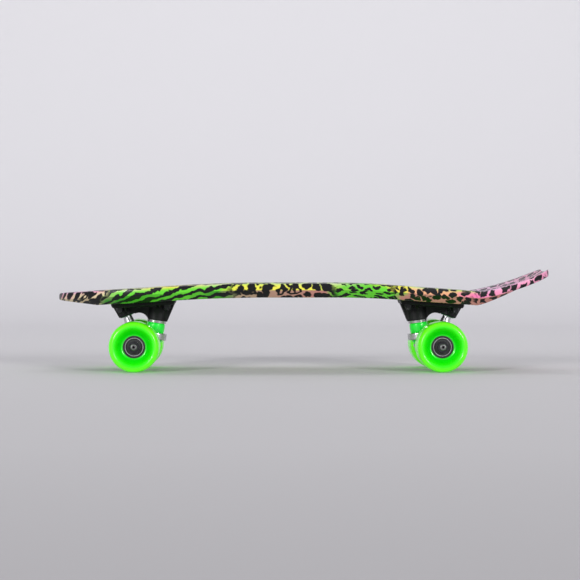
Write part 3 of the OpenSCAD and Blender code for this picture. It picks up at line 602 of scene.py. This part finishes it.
stud_rows = (67, 17)
bpy.ops.object.select_all(action="DESELECT")
bpy.ops.mesh.primitive_plane_add(size=(STUD_PITCH - STUD_GAP) * MM, location=(0, 0, 0))
studs = fresh("grip_studs")
for axis, count in enumerate(stud_rows):
    rows = studs.modifiers.new("rows", "ARRAY")
    rows.count = count
    rows.use_relative_offset, rows.use_constant_offset = False, True
    rows.constant_offset_displace = [STUD_PITCH * MM if i == axis else 0 for i in range(3)]
    bpy.ops.object.modifier_apply(modifier="rows")
edit_mode()
bpy.ops.mesh.select_all(action="SELECT")
middle = [-(count - 1) / 2 * STUD_PITCH * MM for count in stud_rows]
bpy.ops.transform.translate(value=middle + [0])


def near_screw(x, y):
    """Whether a stud at (x, y) would crowd the head of a deck screw."""
    return any(math.hypot(x - pad - u, abs(y) - BOLTS[1] / 2) < SCREW_CLEAR
               for pad in PAD_X for u in (-BOLTS[0] / 2, BOLTS[0] / 2))


pick(studs, "FACE", lambda c, f: (abs(c.y) / MM + STUD_PITCH / 2) > pan_reach(c.x / MM)
     or near_screw(c.x / MM, c.y / MM))
bpy.ops.mesh.delete(type="FACE")
object_mode()
for vertex in studs.data.vertices:
    x, y = vertex.co.x / MM, vertex.co.y / MM
    vertex.co.z = ((pan_height(x, y) or 0) - STUD_SINK) * MM
edit_mode()
bpy.ops.mesh.select_all(action="SELECT")
bpy.ops.mesh.extrude_region_move(
    TRANSFORM_OT_translate={"value": (0, 0, (STUD_SINK + STUD_RISE) * MM)})
bpy.ops.mesh.select_all(action="SELECT")
bpy.ops.mesh.normals_make_consistent(inside=False)
pick(studs, "FACE", lambda c, f: f.normal.z > 0.7)
bpy.ops.mesh.bevel(offset=0.5 * MM, segments=1, affect="EDGES")
object_mode()
stud_film = studs.data.uv_layers[0]
stud_film.name = "film"
for loop in studs.data.loops:
    at = studs.data.vertices[loop.vertex_index].co
    stud_film.data[loop.index].uv = (at.x, at.y)
bpy.ops.object.shade_smooth_by_angle(angle=math.radians(35))
studs.data.materials.append(print_film)
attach(studs, "deck")

# ---- Deck screws and their nuts ----
# Four countersunk machine screws go down through the deck and each baseplate, with a
# lock nut under the plate. Both are blackened steel.


def metal(name, colour, roughness, grain, spread=0.12):
    """A metal finish: its tone and gloss drift a little, over a fine grain."""
    made, tree, shader = start_material(name, roughness=roughness, metallic=1.0)
    texture = use_group(tree, skin, (0, 0), Grain_Scale=grain, Wave_Scale=220.0, Grain=0.55)
    tone = add_node(tree, "ShaderNodeValToRGB", (300, 200))
    set_ramp(tone, [(0.30, [c * 0.72 for c in colour]), (0.55, colour),
                    (0.80, [min(1, c * 1.15) for c in colour])])
    gloss = add_node(tree, "ShaderNodeMapRange", (300, -100))
    gloss.inputs["To Min"].default_value = roughness - spread
    gloss.inputs["To Max"].default_value = roughness + spread
    bump = add_node(tree, "ShaderNodeBump", (600, -300), Strength=0.18, Distance=0.0003)
    link(tree, (texture, "Tone"), (tone, "Fac"), (tone, 0), (shader, "Base Color"),
         (texture, "Height"), (gloss, "Value"), (gloss, 0), (shader, "Roughness"),
         (texture, "Height"), (bump, "Height"), (bump, "Normal"), (shader, "Normal"))
    return made


def finish_nodes(material, *names):
    for name in names:
        piece = bpy.data.objects[name]
        piece.data.materials.clear()
        piece.data.materials.append(material)


ENDS = ("front", "rear")
black_steel = metal("black_steel", (0.045, 0.045, 0.048), 0.42, 1500.0)
finish_nodes(black_steel, *[f"deck_nuts_{end}" for end in ENDS])
SLOPE = (3.5, 4.1)
SCREW_R, SCREW_HEAD_R, SCREW_L, SOCKET_R, SOCKET_DEPTH = 2.45, 4.9, 24.0, 2.1, 2.3
HEAD_PROUD = 0.2


def truck_frame(end):
    """Frame of a truck: its origin on the deck's underside, x towards the board's middle."""
    i = ENDS.index(end)
    return (Matrix.Translation(Vector((PAD_X[i], 0, PAD_Z[i])) * MM)
            @ Matrix.Rotation(math.pi * i, 4, "Z")
            @ Matrix.Rotation(math.radians(-SLOPE[i]), 4, "Y"))


def turned(name, profile, sides=72):
    """Turns a closed profile of (radius, height) about z: a ring drawn out step by step."""
    bpy.ops.object.select_all(action="DESELECT")
    radius, height = profile[0]
    bpy.ops.mesh.primitive_circle_add(vertices=sides, radius=radius * MM,
                                      location=(0, 0, height * MM))
    bpy.ops.object.transform_apply(location=True, rotation=False, scale=False)
    piece = fresh(name)
    edit_mode()
    bpy.ops.mesh.select_mode(type="EDGE")
    bpy.ops.mesh.select_all(action="SELECT")
    for (r0, z0), (r1, z1) in zip(profile, profile[1:] + profile[:1]):
        bpy.ops.mesh.extrude_region_move(TRANSFORM_OT_translate={"value": (0, 0, (z1 - z0) * MM)})
        bpy.ops.transform.resize(value=(r1 / r0, r1 / r0, 1), center_override=(0, 0, z1 * MM))
    bpy.ops.mesh.select_all(action="SELECT")
    bpy.ops.mesh.remove_doubles(threshold=1e-6)
    bpy.ops.mesh.normals_make_consistent(inside=False)
    object_mode()
    bpy.ops.object.shade_smooth_by_angle(angle=math.radians(38))
    return piece


def rounded(profile, corner, steps=3):
    """Rounds every corner of a closed profile, by up to corner mm."""
    out = []
    count = len(profile)
    for i, (r, z) in enumerate(profile):
        back, ahead = Vector(profile[i - 1]), Vector(profile[(i + 1) % count])
        here = Vector((r, z))
        cut = min(corner, (back - here).length * 0.4, (ahead - here).length * 0.4)
        start = here + (back - here).normalized() * cut
        stop = here + (ahead - here).normalized() * cut
        for k in range(steps + 1):
            t = k / steps
            out.append(tuple(start * (1 - t) ** 2 + here * 2 * t * (1 - t) + stop * t * t))
    return out


def placed_copy(piece, name, matrix):
    """A copy with its own mesh, put in place by moving the mesh."""
    bpy.ops.object.select_all(action="DESELECT")
    piece.select_set(True)
    bpy.context.view_layer.objects.active = piece
    bpy.ops.object.duplicate()
    made = fresh(name)
    made.matrix_world = matrix
    bpy.ops.object.transform_apply(location=True, rotation=True, scale=True)
    return made


def drop(*pieces):
    for piece in pieces:
        bpy.data.objects.remove(piece, do_unlink=True)


def joined(name, pieces):
    """Joins pieces into the first, which takes the name."""
    bpy.ops.object.select_all(action="DESELECT")
    for piece in pieces:
        piece.select_set(True)
    bpy.context.view_layer.objects.active = pieces[0]
    bpy.ops.object.join()
    return fresh(name)


screw = turned("screw_master", [
    (SOCKET_R, -SOCKET_DEPTH), (SOCKET_R, 0), (4.6, 0), (SCREW_HEAD_R, -0.15),
    (SCREW_HEAD_R, -0.45),
    (SCREW_R, -2.9), (SCREW_R, 0.5 - SCREW_L), (2.0, -SCREW_L), (0.2, -SCREW_L),
    (0.2, -SOCKET_DEPTH)], sides=48)
for vertex in screw.data.vertices:
    radius = math.hypot(vertex.co.x, vertex.co.y) / MM
    if abs(radius - SOCKET_R) < 0.01:
        turn = math.degrees(math.atan2(vertex.co.y, vertex.co.x)) % 60 - 30
        flat = math.cos(math.radians(30)) / math.cos(math.radians(turn))
        vertex.co.x, vertex.co.y = vertex.co.x * flat, vertex.co.y * flat
for end in ENDS:
    screws = []
    for u in (-BOLTS[0] / 2, BOLTS[0] / 2):
        for v in (-BOLTS[1] / 2, BOLTS[1] / 2):
            foot = truck_frame(end) @ (Vector((u, v, 0)) * MM)
            rise = pan_height(foot.x / MM, foot.y / MM) + HEAD_PROUD - foot.z / MM
            screws.append(placed_copy(screw, "screw", truck_frame(end) @ Matrix.Translation(
                Vector((u, v, rise)) * MM)))
    screws = joined(f"{end}_deck_screws", screws)
    screws.data.materials.append(black_steel)
    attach(screws, "deck")
    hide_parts(f"deck_screws_{end}")
drop(screw)

# ---- Baseplates ----
# A die-cast plate with a boss for the kingpin, a boss for the pivot, an arch between
# them and gussets out to its edges, finished in satin black.


def moulding(name, cad_node, voxel, passes):
    """A copy of a CAD node's shape with its edges and inside corners softened, as cast."""
    bpy.ops.object.select_all(action="DESELECT")
    bpy.ops.mesh.primitive_plane_add(size=0.001)
    piece = fresh(name)
    piece.data = bpy.data.objects[cad_node].data.copy()
    piece.data.name = name
    piece.data.materials.clear()
    edit_mode()
    bpy.ops.mesh.select_all(action="SELECT")
    bpy.ops.mesh.remove_doubles(threshold=1e-6)
    object_mode()
    remesh = piece.modifiers.new("remesh", "REMESH")
    remesh.mode = "VOXEL"
    remesh.voxel_size = voxel * MM
    bpy.ops.object.modifier_apply(modifier="remesh")
    ease = piece.modifiers.new("ease", "SMOOTH")
    ease.factor = 0.5
    ease.iterations = passes
    bpy.ops.object.modifier_apply(modifier="ease")
    bpy.ops.object.shade_smooth()
    return piece


def worn_edges(tree, low, high, place):
    """1 along the sharp outside edges, 0 elsewhere."""
    shape = add_node(tree, "ShaderNodeNewGeometry", (place[0] - 300, place[1]))
    edge = add_node(tree, "ShaderNodeMapRange", place)
    edge.inputs["From Min"].default_value = low
    edge.inputs["From Max"].default_value = high
    link(tree, (shape, "Pointiness"), (edge, "Value"))
    return edge


black_casting, cast_tree, cast_shader = start_material("black_baseplate", roughness=0.45)
cast_shader.inputs["Specular IOR Level"].default_value = 0.22
cast_skin = use_group(cast_tree, skin, (-300, 0), Grain_Scale=1300.0, Wave_Scale=90.0, Grain=0.6)
cast_tone = add_node(cast_tree, "ShaderNodeValToRGB", (0, 200))
set_ramp(cast_tone, [(0.3, (0.004, 0.004, 0.005)), (0.7, (0.011, 0.011, 0.012))])
cast_wear = worn_edges(cast_tree, 0.56, 0.66, (0, 500))
cast_mix = add_node(cast_tree, "ShaderNodeMix", (300, 300), data_type="RGBA")
cast_mix.inputs[7].default_value = (0.035, 0.035, 0.037, 1)
cast_gloss = add_node(cast_tree, "ShaderNodeMapRange", (300, 0))
cast_gloss.inputs["To Min"].default_value = 0.34
cast_gloss.inputs["To Max"].default_value = 0.56
cast_bump = add_node(cast_tree, "ShaderNodeBump", (300, -300), Strength=0.35, Distance=0.0004)
link(cast_tree, (cast_skin, "Tone"), (cast_tone, "Fac"), (cast_tone, 0), (cast_mix, 6),
     (cast_wear, 0), (cast_mix, 0), (cast_mix, 2), (cast_shader, "Base Color"),
     (cast_skin, "Height"), (cast_gloss, "Value"), (cast_gloss, 0), (cast_shader, "Roughness"),
     (cast_skin, "Height"), (cast_bump, "Height"), (cast_bump, "Normal"), (cast_shader, "Normal"))

for end in ENDS:
    plate = moulding(f"{end}_cast_baseplate", f"{end}_baseplate", 0.65, 5)
    plate.data.materials.append(black_casting)
    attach(plate, "deck")
    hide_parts(f"{end}_baseplate")

# ---- Pivot cups ----
# A dark green rubber cup pressed into the small boss. The hanger's round nose turns
# in it.


def rubber(name, colour, roughness, coat=0.0):
    """Rubber or cast urethane, with a soft bloom that drifts over it."""
    made, tree, shader = start_material(name, roughness=roughness)
    texture = use_group(tree, skin, (0, 0), Grain_Scale=1100.0, Wave_Scale=110.0, Grain=0.3)
    tone = add_node(tree, "ShaderNodeValToRGB", (300, 200))
    set_ramp(tone, [(0.30, [c * 0.82 for c in colour]), (0.70, [min(1, c * 1.10) for c in colour])])
    gloss = add_node(tree, "ShaderNodeMapRange", (300, -100))
    gloss.inputs["To Min"].default_value = roughness - 0.08
    gloss.inputs["To Max"].default_value = roughness + 0.08
    bump = add_node(tree, "ShaderNodeBump", (600, -300), Strength=0.15, Distance=0.0003)
    link(tree, (texture, "Tone"), (tone, "Fac"), (tone, 0), (shader, "Base Color"),
         (texture, "Height"), (gloss, "Value"), (gloss, 0), (shader, "Roughness"),
         (texture, "Height"), (bump, "Height"), (bump, "Normal"), (shader, "Normal"))
    shader.inputs["Coat Weight"].default_value = coat
    return made


finish_nodes(rubber("cup_rubber", (0.02, 0.13, 0.04), 0.6), *[f"{end}_pivot_cup" for end in ENDS])

# ---- Kingpins, nuts and cupped washers ----
# The kingpin is a zinc-plated bolt whose head sits in the baseplate. A lock nut at its
# lower end squeezes the bushings between two cupped washers.
zinc_steel = metal("zinc_steel", (0.60, 0.60, 0.59), 0.20, 1800.0, spread=0.07)
finish_nodes(zinc_steel, *[f"{end}_{part}" for end in ENDS
                           for part in ("kingpin", "kingpin_nut", "upper_washer", "lower_washer")])

# ---- Bushings ----
# Two soft cast urethane rings on each kingpin, above and below the hanger's ring. They
# squash as the board leans, and bring it back to the middle.
KINGPIN_U, KINGPIN_DROP, KINGPIN_TILT = 13.4, 22.2, 12.5
UPPER_T, RING_T, RING_H, SEAT, LOWER_H = 1.5, 14.1, 7.8, 1.0, 7.6


def on_kingpin(end, t=0.0):
    """Frame of a truck's kingpin, t mm down from its seat."""
    return (truck_frame(end)
            @ Matrix.Translation(Vector((KINGPIN_U, 0, -KINGPIN_DROP)) * MM)
            @ Matrix.Rotation(math.radians(180 + KINGPIN_TILT), 4, "Y")
            @ Matrix.Translation((0, 0, t * MM)))


bushing_green = rubber("green_urethane", (0.006, 0.72, 0.03), 0.28, coat=0.4)
# A little light of its own stands in for light scattered inside the urethane.
bushing_shader = bushing_green.node_tree.nodes["Principled BSDF"]
bushing_shader.inputs["Emission Color"].default_value = (0.0, 0.62, 0.03, 1)
bushing_shader.inputs["Emission Strength"].default_value = 0.16
upper_profile = rounded([(4.95, 0), (9.0, 0), (9.7, 0.6), (9.7, 1.6), (10.5, 3.3), (10.5, 11.0),
                         (9.9, 12.4), (9.9, 13.6), (4.95, 13.6)], 0.6)
lower_profile = rounded([(4.95, 0), (9.9, 0), (9.9, 1.2), (10.1, 1.8), (10.1, 2.6), (7.5, 6.0),
                         (7.5, 7.1), (7.0, 7.6), (4.95, 7.6)], 0.5)
upper_master = turned("upper_bushing_master", upper_profile)
lower_master = turned("lower_bushing_master", lower_profile)
for end in ENDS:
    upper = placed_copy(upper_master, f"{end}_upper_bushing_ring", on_kingpin(end, UPPER_T))
    lower = placed_copy(lower_master, f"{end}_lower_bushing_ring",
                        on_kingpin(end, RING_T + RING_H - SEAT))
    for ring in (upper, lower):
        ring.data.materials.append(bushing_green)
    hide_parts(f"{end}_upper_bushing")
    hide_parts(f"{end}_lower_bushing")
    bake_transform(upper)
    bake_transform(lower)
drop(upper_master, lower_master)

# ---- Hangers ----
# One aluminium casting: a ring that the bushings grip, a nose that turns in the pivot
# cup, and a housing round the axle. It is left as cast and tumbled.
cast_aluminium, alu_tree, alu_shader = start_material(
    "cast_aluminium", roughness=0.30, metallic=1.0)
alu_skin = use_group(alu_tree, skin, (-300, 0), Grain_Scale=1500.0, Wave_Scale=120.0, Grain=0.6)
alu_tone = add_node(alu_tree, "ShaderNodeValToRGB", (0, 200))
set_ramp(alu_tone, [(0.3, (0.58, 0.58, 0.59)), (0.7, (0.74, 0.74, 0.75))])
alu_wear = worn_edges(alu_tree, 0.54, 0.64, (0, 500))
alu_mix = add_node(alu_tree, "ShaderNodeMix", (300, 300), data_type="RGBA")
alu_mix.inputs[7].default_value = (0.84, 0.84, 0.85, 1)
alu_gloss = add_node(alu_tree, "ShaderNodeMapRange", (300, 0))
alu_gloss.inputs["To Min"].default_value = 0.18
alu_gloss.inputs["To Max"].default_value = 0.36
alu_bump = add_node(alu_tree, "ShaderNodeBump", (300, -300), Strength=0.35, Distance=0.0004)
link(alu_tree, (alu_skin, "Tone"), (alu_tone, "Fac"), (alu_tone, 0), (alu_mix, 6),
     (alu_wear, 0), (alu_mix, 0), (alu_mix, 2), (alu_shader, "Base Color"),
     (alu_skin, "Height"), (alu_gloss, "Value"), (alu_gloss, 0), (alu_shader, "Roughness"),
     (alu_skin, "Height"), (alu_bump, "Height"), (alu_bump, "Normal"), (alu_shader, "Normal"))
for end in ENDS:
    arm = moulding(f"{end}_cast_hanger", f"{end}_hanger", 0.55, 5)
    arm.data.materials.append(cast_aluminium)
    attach(arm, f"{end}_hanger")
    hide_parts(f"{end}_hanger")

# ---- Axles, nuts, washers and bearing spacers ----
# A steel rod cast into the hanger, threaded at both ends. On each end it carries a thin
# washer, the wheel's bearings with a spacer tube between them, a washer and a lock nut.
axle_steel = metal("axle_steel", (0.22, 0.22, 0.22), 0.40, 2200.0)
nut_steel = metal("nut_steel", (0.055, 0.055, 0.060), 0.34, 1800.0)
finish_nodes(axle_steel, *[f"{end}_{part}" for end in ENDS
                           for part in ("speed_washers", "bearing_spacers")])
finish_nodes(nut_steel, *[f"{end}_axle_nuts" for end in ENDS])

# ---- Bearings ----
# Standard skate bearings, two to a wheel: hardened steel rings, seven balls spaced by a
# cage, and a black rubber seal on each side. The inner rings stay with the axle.
BEARING_Z, BEARING_W = (36.0, 53.0), 7.0
INNER_BORE, INNER_R, OUTER_R, BEARING_R = 4.0, 6.1, 9.6, 11.0
AXLE_X = [sum(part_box(f"{end}_left_tyre")[k].x for k in (0, 1)) / 2 / MM for end in ENDS]
AXLE_Z = sum(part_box("front_left_tyre")[k].z for k in (0, 1)) / 2 / MM


def out_from(end, side):
    """Frame of an axle, with z pointing out along it. side is 1 for right, -1 for left."""
    return (Matrix.Translation(Vector((AXLE_X[ENDS.index(end)], 0, AXLE_Z)) * MM)
            @ Matrix.Rotation(math.radians(-90 * side), 4, "X"))


AXLE_END = 68.8
half_rod = turned("axle_master", [
    (1.1, 0), (3.98, 0), (3.98, AXLE_END - 1.0), (3.85, AXLE_END - 0.8), (2.95, AXLE_END - 0.05),
    (2.8, AXLE_END), (1.55, AXLE_END), (1.1, AXLE_END - 0.7)], sides=48)
for end in ENDS:
    rod = joined(f"{end}_steel_axle",
                 [placed_copy(half_rod, "rod", out_from(end, side)) for side in (-1, 1)])
    rod.data.materials.append(axle_steel)
    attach(rod, f"{end}_hanger")
    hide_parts(f"{end}_axle")
drop(half_rod)

bearing_steel = metal("bearing_steel", (0.72, 0.72, 0.71), 0.22, 2600.0, spread=0.06)
seal_rubber = rubber("black_rubber", (0.016, 0.016, 0.017), 0.5)
inner_ring = turned("inner_ring_master", rounded(
    [(INNER_BORE + 0.02, 0), (INNER_R, 0), (INNER_R, BEARING_W),
     (INNER_BORE + 0.02, BEARING_W)], 0.4))
outer_ring = turned("outer_ring_master", rounded(
    [(OUTER_R, 0.1), (10.5, 0.1), (BEARING_R, 0.8), (BEARING_R, BEARING_W - 0.8),
     (10.5, BEARING_W - 0.1), (OUTER_R, BEARING_W - 0.1)], 0.15))
seal = turned("seal_master", rounded(
    [(INNER_R + 0.15, 0), (6.9, 0), (7.2, 0.14), (8.7, 0.14), (9.0, 0), (OUTER_R - 0.03, 0),
     (OUTER_R - 0.03, 0.4), (INNER_R + 0.15, 0.4)], 0.1, steps=2))
for end in ENDS:
    rings = []
    for side in (-1, 1):
        for z in BEARING_Z:
            place = out_from(end, side) @ Matrix.Translation((0, 0, z * MM))
            rings.append(placed_copy(inner_ring, "ring", place))
    rings = joined(f"{end}_bearing_inner_rings", rings)
    rings.data.materials.append(bearing_steel)
    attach(rings, f"{end}_hanger")
    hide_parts(f"{end}_inner_races")

# ---- Wheels ----
# Urethane cast round a black nylon hub. The tread is rounded into both faces, and each
# face dishes in to the hub. The faces are polished by the mould.
TYRE_R, TYRE_Z, HUB_Z = 28.5, (26.0, 70.0), (35.5, 60.5)
DISH_IN, CREST_R, FACE_DEPTH, ROUND_W = 13.5, 23.6, 9.5, 8.0
dish = [(DISH_IN + (CREST_R - DISH_IN) * k / 12,
         HUB_Z[1] + FACE_DEPTH * (0.35 * k / 12 + 0.65 * eased(k / 12))) for k in range(13)]
lip = [(CREST_R + (TYRE_R - CREST_R) * math.sin(math.radians(a)),
        TYRE_Z[1] - ROUND_W * (1 - math.cos(math.radians(a)))) for a in range(10, 91, 8)]
outer_face = [(12.77, HUB_Z[1])] + dish + lip
inner_face = [(r, TYRE_Z[0] + TYRE_Z[1] - z) for r, z in reversed(outer_face)]
tyre_profile = outer_face + [(TYRE_R, 48)] + inner_face + [
    (12.77, 41.98), (15.02, 41.98), (15.02, 54.02), (12.77, 54.02)]
tyre_master = turned("tyre_master", tyre_profile, sides=128)
hub_master = turned("hub_master", rounded(
    [(12.75, 60.5), (12.75, 54), (15, 54), (15, 42), (12.75, 42), (12.75, 35.5), (11.03, 35.5),
     (11.03, 43), (10.0, 43), (10.0, 53), (11.03, 53), (11.03, 60.0), (10.62, 60.2),
     (10.62, 60.5)], 0.2, steps=2), sides=96)
outward = tyre_master.data.attributes.new("outward", "FLOAT", "POINT")
for vertex in tyre_master.data.vertices:
    outward.data[vertex.index].value = math.hypot(vertex.co.x, vertex.co.y) / (TYRE_R * MM)

wheel_urethane, wheel_tree, wheel_shader = start_material("wheel_urethane", roughness=0.30)
wheel_out = add_node(wheel_tree, "ShaderNodeAttribute", (-300, 200), attribute_name="outward")
# Painted shade and highlight: the green darkens towards the hub as painted shade in the dished face, and
# grows brighter and yellower towards the tread as a painted highlight.
wheel_dish_shade_and_lip_highlight = add_node(wheel_tree, "ShaderNodeValToRGB", (0, 200))
set_ramp(wheel_dish_shade_and_lip_highlight, [(0.45, (0.001, 0.55, 0.001)), (0.62, (0.003, 0.72, 0.001)),
                      (0.78, (0.03, 0.86, 0.002)), (0.92, (0.12, 0.98, 0.004)),
                      (1.0, (0.13, 1.0, 0.005))])
wheel_skin = use_group(wheel_tree, skin, (-300, -200), Grain_Scale=900.0, Wave_Scale=75.0,
                       Grain=0.2)
wheel_cloud = add_node(wheel_tree, "ShaderNodeMapRange", (0, -100))
wheel_cloud.inputs["To Min"].default_value = 0.90
wheel_cloud.inputs["To Max"].default_value = 1.06
wheel_mix = add_node(wheel_tree, "ShaderNodeVectorMath", (300, 150), operation="SCALE")
wheel_gloss = add_node(wheel_tree, "ShaderNodeMapRange", (300, -100))
wheel_gloss.inputs["To Min"].default_value = 0.20
wheel_gloss.inputs["To Max"].default_value = 0.36
wheel_bump = add_node(wheel_tree, "ShaderNodeBump", (600, -300), Strength=0.12, Distance=0.0004)
link(wheel_tree, (wheel_out, "Fac"), (wheel_dish_shade_and_lip_highlight, "Fac"), (wheel_dish_shade_and_lip_highlight, 0), (wheel_mix, 0),
     (wheel_skin, "Tone"), (wheel_cloud, "Value"), (wheel_cloud, 0), (wheel_mix, "Scale"),
     (wheel_mix, 0), (wheel_shader, "Base Color"), (wheel_mix, 0), (wheel_shader, "Emission Color"),
     (wheel_skin, "Height"), (wheel_gloss, "Value"), (wheel_gloss, 0), (wheel_shader, "Roughness"),
     (wheel_skin, "Height"), (wheel_bump, "Height"),
     (wheel_bump, "Normal"), (wheel_shader, "Normal"))
# Painted glow: the urethane gives off a little light of its own, in its own colour.
wheel_shader.inputs["Emission Strength"].default_value = 0.12
wheel_shader.inputs["Coat Weight"].default_value = 0.3
wheel_shader.inputs["Coat Roughness"].default_value = 0.06
hub_nylon = rubber("black_plastic", (0.012, 0.012, 0.013), 0.4)

for end in ENDS:
    for side, hand in ((-1, "left"), (1, "right")):
        wheel = f"{end}_{hand}"
        axle_frame = out_from(end, side)
        tyre = placed_copy(tyre_master, f"{wheel}_urethane_tyre", axle_frame)
        hub = placed_copy(hub_master, f"{wheel}_nylon_hub", axle_frame)
        bearings = joined(f"{wheel}_bearing_outer_rings", [
            placed_copy(outer_ring, "ring", axle_frame @ Matrix.Translation((0, 0, z * MM)))
            for z in BEARING_Z])
        seals = joined(f"{wheel}_bearing_seals", [
            placed_copy(seal, "seal", axle_frame @ Matrix.Translation((0, 0, (z + rise) * MM))
                        @ Matrix.Rotation(turn, 4, "X"))
            for z in BEARING_Z for rise, turn in ((0.25, 0), (BEARING_W - 0.25, math.pi))])
        for piece, material, node_name, slot_name in (
                (tyre, wheel_urethane, "tyre", "wheel_urethane"),
                (hub, hub_nylon, "core", "black_plastic"),
                (bearings, bearing_steel, "outer_races", "bearing_steel"),
                (seals, seal_rubber, "shields", "black_rubber")):
            piece.data.materials.append(material)
            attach(piece, f"{wheel}_wheel")
            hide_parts(f"{wheel}_{node_name}")
drop(tyre_master, hub_master, inner_ring, outer_ring, seal)
finish_nodes(bearing_steel, *[f"{end}_{hand}_cages" for end in ENDS for hand in ("left", "right")])

bpy.context.view_layer.update()
